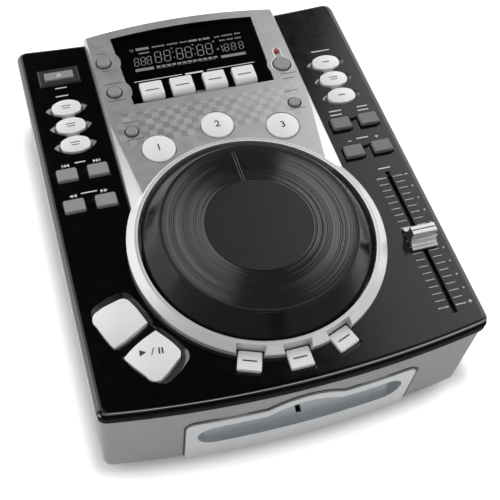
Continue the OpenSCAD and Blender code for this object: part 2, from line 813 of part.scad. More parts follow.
// Boards under the black cover, one for each group of keys
side_board_w = 36;
side_board_l = 132;
side_board_from_front = 207;
side_posts_from_front = [162.8, 249.5];
module key_boards() {
    board_top = cover_board_z + board_t;
    post_h = under_z - board_top;
    color("darkgreen") for (side = [-1, 1]) translate([side * 93, from_front(side_board_from_front), 0]) {
        translate([-side_board_w / 2, -side_board_l / 2, cover_board_z])
            cube([side_board_w, side_board_l, board_t]);
        for (d = side_posts_from_front) translate([0, d - side_board_from_front, board_top - eps])
            cylinder(r = 3, h = post_h + eps);
    }
    color("darkgreen") translate([0, 0, board_top]) {
        for (x = [-trio_x, trio_x]) for (row = trio_rows) on_plan([x, row]) key_switch();
        for (side = [-1, 1]) for (row = [pair_rear_from_front, pair_front_from_front])
            for (x = [pair_in_x, pair_out_x]) on_plan([side * x, row]) key_switch();
        on_plan([-eject_x, eject_from_front]) key_switch();
        for (i = [-1 : 1]) on_brake_key(i) key_switch();
        for (side = [-1, 1]) on_transport_key(side) translate(play_middle) key_switch();
    }
    color("darkgreen") at_jog() translate([0, 0, cover_board_z]) {
        rotate(transport_turn - 21.5) rotate_extrude(angle = 43) translate([91, 0]) square([19, board_t]);
        for (a = [transport_turn - 20, transport_turn + 20]) rotate(a) translate([96, 0, 0])
            cylinder(r = 3, h = post_h + board_t);
        rotate(-90 - 30) rotate_extrude(angle = 60) translate([80.5, 0]) square([9, board_t]);
        for (a = [-90 - 29, -90 + 29]) rotate(a) translate([88, 0, 0]) cylinder(r = 3, h = post_h + board_t);
    }
}

// ---------------------------------------------------------------- jog wheel
platter_r = jog_well_r - platter_gap;
platter_foot_z = top_z - 5;
rim_z = panel_z + 0.3;
platter_web = 3;
hub_r = 11;
hub_foot_z = top_z - 1;
shaft_r = jog_shaft_d / 2;
shaft_press = 0.02;
// Platter: a dish with a bevelled rim, a thin web and a hub over the bearing
module jog_platter() {
    seat_z = jog_top_z - jog_disc_t;
    wall = 2.6;
    color([0.16, 0.16, 0.17]) at_jog() rotate_extrude($fn = 128) polygon([
        [shaft_r + shaft_press, hub_foot_z], [hub_r, hub_foot_z], [hub_r, seat_z - platter_web],
        [jog_disc_r - 2, seat_z - platter_web], [platter_r - wall, rim_z - 2],
        [platter_r - wall, platter_foot_z],
        [platter_r, platter_foot_z], [platter_r, rim_z - 0.8], [platter_r - 0.6, rim_z],
        [jog_disc_r + 1.1, jog_top_z - 0.3], [jog_disc_r + 0.6, jog_top_z], [jog_disc_r + 0.1, jog_top_z - 0.3],
        [jog_disc_r + 0.1, seat_z], [shaft_r + shaft_press, seat_z]
    ]);
}

groove_in_r = 33.6;
groove_out_r = 58.6;
groove_pitch = 5;
// Grooved disc on top of the platter
module jog_disc() {
    bands = floor((groove_out_r - groove_in_r) / groove_pitch);
    groove_w = 0.5;
    groove_t = 0.2;
    color([0.13, 0.14, 0.13]) at_jog() difference() {
        translate([0, 0, jog_top_z - jog_disc_t]) cylinder(r = jog_disc_r, h = jog_disc_t, $fn = 128);
        for (i = [0 : bands]) let (r = groove_in_r + i * groove_pitch)
            translate([0, 0, jog_top_z - groove_t]) difference() {
                cylinder(r = r + groove_w, h = 1, $fn = 96);
                translate([0, 0, -1]) cylinder(r = r, h = 3, $fn = 96);
            }
    }
}

encoder_z = top_z - 23;
encoder_r = 22;
shaft_foot_z = encoder_z - 3;
// Shaft with its slotted encoder wheel
module jog_shaft() {
    teeth = 24;
    collar_r = 6;
    color("lightgray") at_jog() {
        translate([0, 0, shaft_foot_z]) cylinder(r = shaft_r, h = jog_top_z - jog_disc_t - shaft_foot_z - 0.2);
        difference() {
            translate([0, 0, encoder_z]) cylinder(r = encoder_r, h = 1);
            for (i = [0 : teeth - 1]) rotate(i * 360 / teeth) translate([encoder_r - 5, -0.9, encoder_z - 1])
                cube([4, 1.8, 3]);
        }
        translate([0, 0, encoder_z]) cylinder(r = collar_r, h = 3.5);
    }
}

bearing_plate_z = top_z - 13;
bearing_plate_t = 2;
bearing_r = 76;
bush_r = 8.5;
bush_foot_z = bearing_plate_z - 5;
bush_head_z = hub_foot_z - 0.4;
ear_orbit = 80.5;
// Bearing plate under the jog well: a bush, four ears on posts and the encoder's fork sensor
module jog_bearing() {
    sensor = [9, 10, bearing_plate_z - encoder_z + 5];
    color("gainsboro") at_jog() difference() {
        union() {
            translate([0, 0, bearing_plate_z]) cylinder(r = bearing_r, h = bearing_plate_t, $fn = 96);
            for (a = [45, 135, 232, 308]) rotate(a) {
                translate([bearing_r - 4, -4, bearing_plate_z])
                    cube([ear_orbit - bearing_r + 4, 8, bearing_plate_t]);
                translate([ear_orbit, 0, bearing_plate_z])
                    cylinder(r = 4, h = under_z - bearing_plate_z, $fn = 32);
            }
            translate([0, 0, bush_foot_z]) cylinder(r = bush_r, h = bush_head_z - bush_foot_z);
            translate([encoder_r - 5, -sensor[1] / 2, bearing_plate_z - sensor[2] + eps]) cube(sensor);
        }
        translate([0, 0, bush_foot_z - 1])
            cylinder(r = shaft_r + shaft_clear, h = bush_head_z - bush_foot_z + 2);
        translate([0, 0, encoder_z - 1]) cylinder(r = encoder_r + 1, h = 3);
        for (i = [0 : 5]) rotate(30 + 60 * i) translate([46, 0, bearing_plate_z - 1])
            cylinder(r = 14, h = bearing_plate_t + 2);
    }
}

// ---------------------------------------------------------------- pitch fader
lever = [1.2, 4, 7];
pot = [11.6, fader_travel + 22, 10];
pot_top = under_z - 4;
// Fader cap: a ridge between two hollow flanks, with its lever
module fader_cap() {
    foot_z = top_z + 0.5;
    base_h = 1.6;
    waist = ridge_l - 1.2;
    top = foot_z + cap_h - 0.5;
    flank_h = cap_h - 4;
    flank = [for (i = [1 : 7]) let (t = i / 8)
        [cap_l / 2 - (cap_l - waist) / 2 * sin(90 * t), foot_z + base_h + flank_h * (1 - cos(90 * t))]];
    half = concat(
        [[cap_l / 2, foot_z], [cap_l / 2, foot_z + base_h]], flank,
        [[ridge_l / 2, top - 1.2], [ridge_l / 2 - 0.4, top]]
    );
    color("silver") on_plan([fader_x, fader_from_front]) {
        intersection() {
            rotate([90, 0, 90]) linear_extrude(cap_w, center = true) polygon(concat(half, mirrored(half)));
            rotate([90, 0, 0]) linear_extrude(cap_l + 2, center = true) polygon([
                [-cap_w / 2, foot_z], [cap_w / 2, foot_z], [cap_w / 2, foot_z + base_h],
                [cap_w / 2 - 0.5, top], [-cap_w / 2 + 0.5, top], [-cap_w / 2, foot_z + base_h]
            ]);
        }
        translate([-lever[0] / 2, -lever[1] / 2, pot_top - 4])
            cube([lever[0], lever[1], foot_z - pot_top + 4 + eps]);
    }
}

// Slide potentiometer: a steel trough with a slot, hung from the cover by two posts
module fader_unit() {
    slot_w = 2.4;
    slot_l = fader_travel + lever[1] + 4;
    slot_d = 6;
    color("lightsteelblue") on_plan([fader_x, fader_from_front]) difference() {
        union() {
            translate([-pot[0] / 2, -pot[1] / 2, pot_top - pot[2]]) cube(pot);
            for (s = [-1, 1]) translate([0, s * (pot[1] / 2 - 4.5), pot_top - eps])
                cylinder(r = 3, h = under_z - pot_top + eps);
        }
        translate([-slot_w / 2, -slot_l / 2, pot_top - slot_d]) cube([slot_w, slot_l, slot_d + 1]);
    }
}

// ---------------------------------------------------------------- housing
foot_at = [[92, 34], [92, 258], [-92, 34], [-92, 258]];
pillar_r = 4.6;
jack_xs = [-88, -74, -56, -38];
jack_z = 34;
inlet_x = 62;
inlet_z = 33;
inlet_w = 30;
inlet_h = 22;
switch_x = 94;
switch_w = 13;
switch_l = 21;
housing_e = housing_step;
inner_e = housing_step + housing_wall;
rear_wall_y = from_front(casing_l) - housing_step;
// Flat pads on the bowed rear wall, so that the sockets seat square
pad_edge_x = 104;
pad_y = rear_c - sqrt(pow(rear_r + housing_step, 2) - pow(pad_edge_x, 2)) + fit;
jack_pad = [-97, -29, 23, 45];
inlet_pad = [42, pad_edge_x, 18, 48];
module rear_pad(p) {
    translate([p[0], rear_wall_y - housing_wall, p[2]])
        cube([p[1] - p[0], pad_y - rear_wall_y + housing_wall, p[3] - p[2]]);
}

module rear_openings() {
    y = rear_wall_y - 20;
    for (x = jack_xs) translate([x, y, jack_z]) rotate([-90, 0, 0]) cylinder(r = jack_r + 0.3, h = 40);
    translate([inlet_x - inlet_w / 2, y, inlet_z - inlet_h / 2]) cube([inlet_w, 40, inlet_h]);
    translate([switch_x - switch_w / 2, y, inlet_z - switch_l / 2]) cube([switch_w, 40, switch_l]);
}

// Housing: the grey wall all round, a lip inside the cover, screw pillars and the mouth opening
module lower_housing() {
    lip_e = cover_wall + fit;
    bevel = 1.2;
    color("darkgray") difference() {
        union() {
            loft([
                [case_z, casing_outline(housing_e + bevel)], [case_z + bevel, casing_outline(housing_e)],
                [cover_foot_z, casing_outline(housing_e)]
            ]);
            casing_slab(lip_e, cover_foot_z - eps, cover_foot_z + lip_h);
            rear_pad(jack_pad);
            rear_pad(inlet_pad);
        }
        difference() {
            casing_slab(inner_e, case_z - 1, cover_foot_z + lip_h + 1);
            for (p = boss_at) on_plan(p) translate([0, 0, case_z + plate_t]) {
                cylinder(r = pillar_r, h = boss_joint_z - case_z - plate_t);
                translate([p[0] > 0 ? 0 : -16, -1.2, 0]) cube([16, 2.4, boss_joint_z - case_z - plate_t - 10]);
            }
        }
        for (p = boss_at) on_plan(p) translate([0, 0, case_z]) {
            cylinder(r = screw_r + 0.02, h = boss_joint_z - case_z + 1);
        }
        translate([mouth_x, from_front(20), 0]) rotate([90, 0, 0]) linear_extrude(25)
            offset(delta = fit) tub_outline();
        rear_openings();
    }
}

// Bottom plate with rows of vent slots
module bottom_plate() {
    slots = 9;
    slot_pitch = 9;
    color("silver") difference() {
        casing_slab(inner_e + fit, case_z, case_z + plate_t);
        for (p = boss_at) on_plan(p) translate([0, 0, case_z - 1]) cylinder(r = screw_r + 0.2, h = plate_t + 2);
        for (p = foot_at) on_plan(p) translate([0, 0, case_z - 1])
            cylinder(r = foot_stud_r + 0.2, h = plate_t + 2);
        for (side = [-1, 1]) for (i = [0 : slots - 1])
            translate([side * 45 - 15, from_front(100) + i * slot_pitch, case_z - 1])
                cube([30, 3, plate_t + 2]);
    }
}

foot_stud_r = 3;
// Rubber feet: each has a bevelled sole and a stud that plugs into the bottom plate
module rubber_feet() {
    stud_h = plate_t + 2.5;
    color([0.12, 0.12, 0.12]) for (p = foot_at) on_plan(p) rotate_extrude($fn = 48) polygon([
        [0, 0], [foot_r - 2, 0], [foot_r - 1, 1], [foot_r, foot_h], [foot_stud_r, foot_h],
        [foot_stud_r, foot_h + stud_h - 1], [foot_stud_r - 1, foot_h + stud_h], [0, foot_h + stud_h]
    ]);
}

screw_l = 14;
// Pan-head screws that hold the bottom plate to the pillars
module housing_screws() {
    color("dimgray") for (p = boss_at) on_plan(p) difference() {
        union() {
            translate([0, 0, case_z]) cylinder(r = screw_r, h = screw_l);
            translate([0, 0, case_z - 1.9]) cylinder(r1 = 2.2, r2 = 2.9, h = 1.9);
        }
        for (a = [0, 90]) rotate(a) translate([-1.6, -0.35, case_z - 2.9]) cube([3.2, 0.7, 2]);
    }
}

// ---------------------------------------------------------------- disc mouth
bezel_foot_z = case_z - 1;
bezel_t = housing_step - 0.1;
mouth_foot_z = bezel_foot_z + 20;
arch_half = 23.8;
bezel_corner = 7;
function arch(z, rise) = [for (i = [-10 : 10]) let (t = i / 10) [arch_half * t, z + rise * (1 - t * t)]];

module bezel_outline() {
    z1 = bezel_foot_z + bezel_h;
    half = bezel_w / 2;
    polygon(concat(
        [[half, bezel_foot_z], [-half, bezel_foot_z]],
        arc([-half + bezel_corner, z1 - bezel_corner], bezel_corner, 180, 90, 6),
        arch(z1, arch_rise - 0.7),
        arc([half - bezel_corner, z1 - bezel_corner], bezel_corner, 90, 0, 6)
    ));
}

module mouth_outline() {
    r = mouth_h / 2;
    x = mouth_w / 2 - r;
    polygon(concat(
        arc([-x, mouth_foot_z + r], r, 270, 90, 12),
        arch(mouth_foot_z + mouth_h, arch_rise),
        arc([x, mouth_foot_z + r], r, 90, -90, 12)
    ));
}

// Outside of the tub behind the bezel, which the housing is cut for
tub_wall = 2;
module tub_outline() {
    half = mouth_w / 2 + tub_wall;
    top = mouth_foot_z + mouth_h + tub_wall;
    foot = mouth_foot_z - tub_wall;
    polygon(concat([[half, top], [half, foot], [-half, foot], [-half, top]], arch(top, arch_rise)));
}

// Floor of the scoop in side view: level at the lip, upright below the disc slot
scoop_rise = slot_z - mouth_foot_z;
function scoop_curve(d, extra) = [for (i = [0 : 10]) let (a = 9 * i)
    [(d + extra) * sin(a), mouth_foot_z - extra + (scoop_rise + extra) * (1 - cos(a))]];

// Bezel: a thin bowed plate with an arched opening and a hollow scoop that leads up to the slot
module mouth_bezel() {
    y0 = from_front(0);
    back = scoop_depth + tub_wall;
    color("gainsboro") difference() {
        union() {
            intersection() {
                translate([mouth_x, y0 + 20, 0]) rotate([90, 0, 0]) linear_extrude(40) bezel_outline();
                translate([0, front_c, 0]) difference() {
                    cylinder(r = front_r, h = 100, $fn = 720);
                    translate([0, 0, -1]) cylinder(r = front_r - bezel_t, h = 102, $fn = 720);
                }
            }
            difference() {
                intersection() {
                    translate([mouth_x, y0 + back, 0]) rotate([90, 0, 0]) linear_extrude(back) tub_outline();
                    translate([0, front_c, 0]) cylinder(r = front_r - bezel_t + 0.05, h = 100, $fn = 720);
                }
                translate([mouth_x, y0, 0]) rotate([90, 0, 90]) linear_extrude(mouth_w + 10, center = true)
                    polygon(concat(
                        [[0, mouth_foot_z - 20]], scoop_curve(scoop_depth, tub_wall),
                        [[back + 5, slot_z - tub_wall], [back + 5, mouth_foot_z - 20]]
                    ));
            }
        }
        intersection() {
            translate([mouth_x, y0 + scoop_depth, 0]) rotate([90, 0, 0]) linear_extrude(scoop_depth + 10)
                mouth_outline();
            translate([mouth_x, y0, 0]) rotate([90, 0, 90]) linear_extrude(mouth_w + 10, center = true)
                polygon(concat(
                    [[-10, mouth_foot_z]], scoop_curve(scoop_depth, 0), [[scoop_depth, 90], [-10, 90]]
                ));
        }
        translate([mouth_x - slot_w / 2, y0 + 5, slot_z]) cube([slot_w, back + 5, slot_h]);
        translate([mouth_x - 1.1, y0 + 6.6, mouth_foot_z - 5]) cube([3.3, 4.2, 12]);
    }
}

// ---------------------------------------------------------------- drive
drive_front = 23;
drive_rear = 175;
deck_z = 34;
roof_z = slot_z + slot_h + 4.4;
drive_y = from_front(spindle_from_front);
roller_from_front = 31;
roller_z = slot_z - roller_r - 0.1;
roller_half = 58;
rod_z = deck_z + 6;
rod_x = 26;
rod_from = 8;
rod_to = rod_from + 2 * 5 + 4 + 24 + sled_travel;
screw_x = -36;
sled_rest = 15.5;
sled_size = [44, 24, 7];
lens_y = 8;
motor_r = 12;
hub_z = 43;

module on_drive() {
    translate([mouth_x, drive_y, 0]) children();
}

// Drive frame: deck, side plates, roof, motor, guide rods and the legs that stand on the bottom plate
module drive_chassis() {
    y0 = from_front(drive_front) - drive_y;
    l = drive_rear - drive_front;
    half = drive_w / 2;
    rod_block = [8, 5, rod_z + 3 - deck_z];
    color("lightsteelblue") on_drive() difference() {
        union() {
            translate([-half, y0, deck_z]) cube([drive_w, l, sheet_t]);
            for (x = [-half, half - sheet_t]) translate([x, y0, deck_z])
                cube([sheet_t, l, roof_z + sheet_t - deck_z]);
            translate([-half, y0, roof_z]) cube([drive_w, l, sheet_t]);
            cylinder(r = motor_r, h = 0.1);
            translate([0, 0, deck_z]) cylinder(r = motor_r, h = hub_z - 1.2 - deck_z);
            for (x = [-rod_x, rod_x]) for (y = [rod_from, rod_to - rod_block[1]])
                translate([x - rod_block[0] / 2, y, deck_z]) cube(rod_block);
            for (x = [-rod_x, rod_x]) translate([x, rod_from + 1, rod_z]) rotate([-90, 0, 0])
                cylinder(d = rod_d, h = rod_to - rod_from - 2);
            for (y = [rod_from, rod_to - rod_block[1]])
                translate([screw_x - 4, y, deck_z]) cube([8, rod_block[1], rod_block[2]]);
            for (x = [-half + 5, half - 5]) for (y = [y0 + 8, y0 + l - 8])
                translate([x, y, case_z + plate_t]) cylinder(r = 3.5, h = deck_z - case_z - plate_t + eps);
        }
        translate([0, 0, -1]) cylinder(r = motor_r + 1, h = 2);
        translate([0, 0, deck_z - 1]) cylinder(r = 1 + shaft_clear, h = hub_z - deck_z + 5);
        translate([-half - 1, from_front(roller_from_front) - drive_y, roller_z]) rotate([0, 90, 0])
            cylinder(r = 1.5 + shaft_clear, h = drive_w + 2, $fn = 32);
        translate([screw_x, rod_from - 1, rod_z]) rotate([-90, 0, 0])
            cylinder(r = 1.5 + shaft_clear, h = rod_to - rod_from + 2, $fn = 32);
        translate([-22, -30, roof_z - 1]) cube([44, 90, sheet_t + 2]);
        translate([-20, rod_from + 8, deck_z - 1]) cube([40, rod_to - rod_from - 16, sheet_t + 2]);
    }
}

// Turntable of the spindle motor: a flat seat and a centring cone
module drive_hub() {
    seat_r = 14;
    cone_r = 7.2;
    color("ivory") on_drive() {
        rotate_extrude($fn = 64) polygon([
            [0, hub_z], [seat_r, hub_z], [seat_r, hub_z + 1.4], [cone_r, hub_z + 1.4],
            [cone_r - 0.6, hub_z + 2.6], [3, hub_z + 2.8], [0, hub_z + 2.8]
        ]);
        translate([0, 0, deck_z + 1]) cylinder(r = 1, h = hub_z - deck_z - 1 + eps, $fn = 32);
    }
}

// Rubber feed roller on its steel shaft, thinner in the middle so that it grips a disc by its rim
module feed_roller() {
    waist_r = roller_r - 0.4;
    color([0.15, 0.15, 0.15]) translate([mouth_x, from_front(roller_from_front), roller_z]) rotate([0, 90, 0]) {
        rotate_extrude($fn = 48) polygon([
            [0, -roller_half], [roller_r, -roller_half], [waist_r, 0], [roller_r, roller_half], [0, roller_half]
        ]);
        cylinder(r = 1.5, h = drive_w + 1, center = true, $fn = 32);
    }
}

// Laser sled: a block that slides on two rods, with the lens on top and a follower on the screw
module laser_sled() {
    foot = rod_z - 3.4;
    color([0.1, 0.1, 0.1]) on_drive() translate([0, sled_rest, 0]) difference() {
        union() {
            translate([-sled_size[0] / 2 - 8, 0, foot]) cube([sled_size[0] + 16, sled_size[1], sled_size[2]]);
            translate([0, lens_y, foot + sled_size[2] - eps]) cylinder(r = 5, h = 1.2);
            translate([0, lens_y, foot + sled_size[2] + 1.1]) cylinder(r = 2.6, h = 0.5);
            translate([screw_x - 3.4, 8, rod_z - 3.4]) cube([screw_x + 3.4 < 0 ? -screw_x - 24 : 4, 6, 6.8]);
        }
        for (x = [-rod_x, rod_x]) translate([x, -1, rod_z]) rotate([-90, 0, 0])
            cylinder(r = rod_d / 2 + shaft_clear, h = sled_size[1] + 2, $fn = 32);
        translate([screw_x, -1, rod_z]) rotate([-90, 0, 0])
            cylinder(r = 1.5 + 0.3, h = sled_size[1] + 2, $fn = 32);
    }
}

// Lead screw that drives the sled, with its gear at the front
module sled_screw() {
    gear_r = 4.6;
    teeth = 16;
    color("silver") on_drive() translate([screw_x, rod_from - 6, rod_z]) rotate([-90, 0, 0]) {
        cylinder(r = 1.5, h = rod_to - rod_from + 6, $fn = 32);
        difference() {
            cylinder(r = gear_r, h = 4);
            for (i = [0 : teeth - 1]) rotate(i * 360 / teeth) translate([gear_r, 0, -1])
                cylinder(r = 0.5, h = 6, $fn = 12);
        }
    }
}

// ---------------------------------------------------------------- boards and supply
module stand_offs(points, z1) {
    for (p = points) translate([p[0], p[1], case_z + plate_t])
        cylinder(r = 2.8, h = z1 - case_z - plate_t + eps, $fn = 24);
}

main_board_z = 15;
module main_board() {
    w = 120;
    l = 88;
    y0 = from_front(62);
    color("darkgreen") {
        stand_offs([for (x = [-54, 54]) for (y = [6, l - 6]) [mouth_x + x, y0 + y]], main_board_z);
        translate([mouth_x - w / 2, y0, main_board_z]) cube([w, l, board_t]);
    }
    color([0.1, 0.1, 0.1]) translate([mouth_x, y0, main_board_z + board_t - eps]) {
        translate([-30, 30, 0]) cube([24, 24, 2]);
        translate([8, 26, 0]) cube([18, 18, 2]);
        translate([8, 56, 0]) cube([22, 10, 2.4]);
        for (i = [0 : 4]) translate([-48 + i * 14, 12, 0]) cylinder(r = 3.2, h = 8, $fn = 24);
        translate([34, 40, 0]) cube([14, 40, 7]);
    }
}

module power_supply() {
    w = 84;
    l = 62;
    x0 = 24;
    y0 = from_front(196);
    board_z = 15;
    color("burlywood") {
        stand_offs([for (x = [6, w - 6]) for (y = [6, l - 6]) [x0 + x, y0 + y]], board_z);
        translate([x0, y0, board_z]) cube([w, l, board_t]);
    }
    color("goldenrod") translate([x0 + 30, y0 + 12, board_z + board_t - eps]) {
        cube([34, 36, 6]);
        translate([3, 3, 6 - eps]) cube([28, 30, 22]);
        translate([0, 0, 28 - eps]) cube([34, 36, 4]);
    }
    color("black") for (y = [14, 34]) translate([x0 + 14, y0 + y, board_z + board_t - eps])
        cylinder(r = 8, h = 24, $fn = 48);
    color("silver") translate([x0 + 70, y0 + 8, board_z + board_t - eps]) {
        for (i = [0 : 5]) translate([0, i * 8, 0]) cube([9, 2, 22]);
        cube([2, 42, 22]);
    }
}

// ---------------------------------------------------------------- rear sockets
jack_r = 4.15;
jack_bore_r = 1.7;
jack_bore_l = 9;
mini_bore_r = 1.8;
jack_tip_y = from_front(total_l) - 0.6;
// Three phono sockets and a start jack on one board behind the rear wall
module audio_jacks() {
    body_y = rear_wall_y - housing_wall - 12;
    color("silver") {
        translate([-96, body_y - board_t, jack_z - 9]) cube([66, board_t, 26]);
        for (x = jack_xs) let (mini = x == jack_xs[3], tip_y = jack_tip_y - (mini ? 4 : 0))
            translate([x, 0, jack_z]) difference() {
                union() {
                    translate([-6, body_y - eps, -7]) cube([12, 11.4, 14]);
                    translate([0, body_y + 10, 0]) rotate([-90, 0, 0])
                        cylinder(r = mini ? 3 : jack_r, h = tip_y - body_y - 10, $fn = 48);
                }
                translate([0, tip_y - jack_bore_l, 0]) rotate([-90, 0, 0])
                    cylinder(r = mini ? mini_bore_r : jack_bore_r, h = jack_bore_l + 5, $fn = 32);
            }
        stand_offs([[-90, body_y - 4], [-40, body_y - 4]], jack_z - 9);
        translate([-96, body_y - 8, jack_z - 9]) cube([66, 8, board_t]);
    }
}

// Mains inlet and the frame of the power switch, in one moulding
inlet_depth = 20;
module power_inlet() {
    face_y = pad_y;
    flange_t = 1.8;
    pin = [2, 12, 4];
    inset = 2 + fit;
    color([0.07, 0.07, 0.07]) difference() {
        union() {
            translate([inlet_x - inlet_w / 2 + fit, face_y - inlet_depth, inlet_z - inlet_h / 2 + fit])
                cube([inlet_w - 2 * fit, inlet_depth, inlet_h - 2 * fit]);
            translate([inlet_x - inlet_w / 2 - 2, face_y, inlet_z - inlet_h / 2 - 2])
                cube([inlet_w + 4, flange_t, inlet_h + 4]);
        }
        translate([inlet_x - inlet_w / 2 + inset, face_y - inlet_depth + 3, inlet_z - inlet_h / 2 + inset])
            cube([inlet_w - 2 * inset, inlet_depth + 5, inlet_h - 2 * inset]);
    }
    color("silver") for (p = [[-7, -2], [7, -2], [0, 2.5]])
        translate([inlet_x + p[0] - pin[0] / 2, face_y - inlet_depth + 2.9, inlet_z + p[1] - pin[2] / 2])
            cube(pin);
    color([0.07, 0.07, 0.07]) difference() {
        union() {
            translate([switch_x - switch_w / 2 + fit, switch_y - 14, inlet_z - switch_l / 2 + fit])
                cube([switch_w - 2 * fit, 14, switch_l - 2 * fit]);
            translate([switch_x - switch_w / 2 - 1.5, switch_y, inlet_z - switch_l / 2 - 1.5])
                cube([switch_w + 3, 1.6, switch_l + 3]);
        }
        translate([switch_x - switch_w / 2 + 1.2, switch_y - 11, inlet_z - switch_l / 2 + 1.2])
            cube([switch_w - 2.4, 20, switch_l - 2.4]);
        translate([switch_x, switch_y - 3, inlet_z]) rotate([0, 90, 0])
            cylinder(r = 1.05, h = switch_w, center = true, $fn = 24);
    }
}
switch_y = pad_y;

rocker_tilt = 7;
// Rocker of the power switch on its pivot, at rest in the off position
module power_switch() {
    rocker = [switch_w - 3, 6, switch_l - 5];
    color("black") translate([switch_x, switch_y - 3, inlet_z]) rotate([-rocker_tilt, 0, 0]) {
        rotate([0, 90, 0]) linear_extrude(rocker[0], center = true) polygon([
            [-rocker[2] / 2, 1], [-rocker[2] / 2, 4.2], [0, 3.2], [rocker[2] / 2, 4.2],
            [rocker[2] / 2, 1], [3, -3], [-3, -3]
        ]);
        rotate([0, 90, 0]) cylinder(r = 1, h = switch_w - 2 * fit - 0.4, center = true, $fn = 24);
    }
}

// ---------------------------------------------------------------- what is drawn
lower_housing();
bottom_plate();
rubber_feet();
housing_screws();
top_cover();
centre_panel();
display_window();
display_board();
eject_frame();
beat_lamp();
mouth_bezel();
jog_bearing();
fader_unit();
main_board();
key_boards();
power_supply();
drive_chassis();
audio_jacks();
power_inlet();
drive_hub();
feed_roller();
laser_sled();
sled_screw();
power_switch();
jog_platter();
jog_disc();
jog_shaft();
fader_cap();
eject_key();
trio_key([-trio_x, trio_rows[0]], "white");  // loop_exit_key
trio_key([-trio_x, trio_rows[1]], "white");  // loop_in_key
trio_key([-trio_x, trio_rows[2]], "white");  // loop_out_key
trio_key([trio_x, trio_rows[0]], "white");  // sampler_record_key
trio_key([trio_x, trio_rows[1]], "white");  // sampler_repeat_key
trio_key([trio_x, trio_rows[2]], "white");  // sampler_play_key
pair_key([-pair_out_x, pair_rear_from_front]);  // skip_back_key
pair_key([-pair_in_x, pair_rear_from_front]);  // skip_on_key
pair_key([-pair_out_x, pair_front_from_front]);  // search_back_key
pair_key([-pair_in_x, pair_front_from_front]);  // search_on_key
pair_key([pair_in_x, pair_rear_from_front]);  // tempo_key
pair_key([pair_out_x, pair_rear_from_front]);  // range_key
pair_key([pair_in_x, pair_front_from_front]);  // bend_down_key
pair_key([pair_out_x, pair_front_from_front]);  // bend_up_key
transport_key(-1);  // cue_key
transport_key(1);  // play_key
brake_row_key(-1);  // scratch_key
brake_row_key(0);  // brake_key
brake_row_key(1);  // reverse_key
cue_number_key(-1);  // cue_1_key
cue_number_key(0);  // cue_2_key
cue_number_key(1);  // cue_3_key
effect_key(0);  // effect_1_key
effect_key(1);  // effect_2_key
effect_key(2);  // effect_3_key
effect_key(3);  // effect_4_key
round_key(time_at, small_key_d, 1.7, "gray");  // time_key
round_key(play_mode_at, small_key_d, 1.7, "gray");  // play_mode_key
round_key(cue_mode_at, tiny_key_d, 1.7, "gray");  // cue_mode_key
round_key(tap_at, tap_d, 1.7, "gray");  // tap_key
round_key(cue_set_at, tiny_key_d, 1.7, "gray");  // cue_set_key
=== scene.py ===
# Tabletop DJ disc player: its looks, piece by piece, in the order in which it is put together.
# Lengths are written in millimetres times mm; x runs to the right, y to the rear, z up.
import json
import math

import bmesh
import bpy
from mathutils import Matrix, Vector
from mathutils.bvhtree import BVHTree


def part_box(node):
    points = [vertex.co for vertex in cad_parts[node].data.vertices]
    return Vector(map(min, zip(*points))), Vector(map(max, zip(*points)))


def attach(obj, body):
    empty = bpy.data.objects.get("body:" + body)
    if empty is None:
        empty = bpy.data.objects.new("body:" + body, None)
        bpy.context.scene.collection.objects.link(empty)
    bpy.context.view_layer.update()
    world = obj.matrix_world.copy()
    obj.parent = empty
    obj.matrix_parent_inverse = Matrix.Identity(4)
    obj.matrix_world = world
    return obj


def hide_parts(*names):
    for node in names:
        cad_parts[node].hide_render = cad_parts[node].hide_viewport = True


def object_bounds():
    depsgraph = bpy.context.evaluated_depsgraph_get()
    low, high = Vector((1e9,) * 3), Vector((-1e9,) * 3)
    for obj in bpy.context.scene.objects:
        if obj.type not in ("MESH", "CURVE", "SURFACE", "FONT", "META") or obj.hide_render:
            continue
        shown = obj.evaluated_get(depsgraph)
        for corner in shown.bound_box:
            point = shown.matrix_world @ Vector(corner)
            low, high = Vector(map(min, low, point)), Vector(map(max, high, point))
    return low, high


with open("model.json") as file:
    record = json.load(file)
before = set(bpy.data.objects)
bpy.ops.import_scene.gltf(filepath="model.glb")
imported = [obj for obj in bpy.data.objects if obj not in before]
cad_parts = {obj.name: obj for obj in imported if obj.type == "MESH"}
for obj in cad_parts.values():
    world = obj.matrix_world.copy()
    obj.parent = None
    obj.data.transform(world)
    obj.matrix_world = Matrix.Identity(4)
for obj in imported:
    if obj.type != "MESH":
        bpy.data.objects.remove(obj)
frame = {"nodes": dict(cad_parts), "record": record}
packed_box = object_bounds()
scene = bpy.context.scene
mm = 0.001

# ---------------------------------------------------------------- camera
# It looks down on the player from in front, a little from the left.
camera_lens = bpy.data.cameras.new("camera")
camera_lens.lens = 65.66069
camera_lens.sensor_width = 36
camera_lens.shift_x = 0.052239
camera_lens.shift_y = -0.082618
camera_lens.clip_start = 0.01
camera = bpy.data.objects.new("camera", camera_lens)
camera.matrix_world = Matrix((
    (0.9586090871, 0.1960688036, -0.2064597839, -133.2614 * mm),
    (-0.2788593592, 0.7929538411, -0.5417210201, -336.1602 * mm),
    (0.0574984863, 0.5768719356, 0.8148083787, 560.3287 * mm),
    (0, 0, 0, 1),
))
scene.collection.objects.link(camera)
scene.camera = camera
scene.view_settings.view_transform = "Standard"


# ---------------------------------------------------------------- floor and soft light
# A wide white sheet lies under the player. Above it is the studio: a soft light on the left and
# one on the right, both towards the rear, a smaller one in front, and dark ceiling between them.
def put(tree, kind, inputs=None, **settings):
    """Adds a node; each input gets a plain value or a link from another node's output."""
    node = tree.nodes.new(kind)
    for key, value in settings.items():
        setattr(node, key, value)
    for key, value in (inputs or {}).items():
        socket = node.inputs[key]
        if isinstance(value, bpy.types.NodeSocket):
            tree.links.new(value, socket)
        else:
            socket.default_value = value
    return node


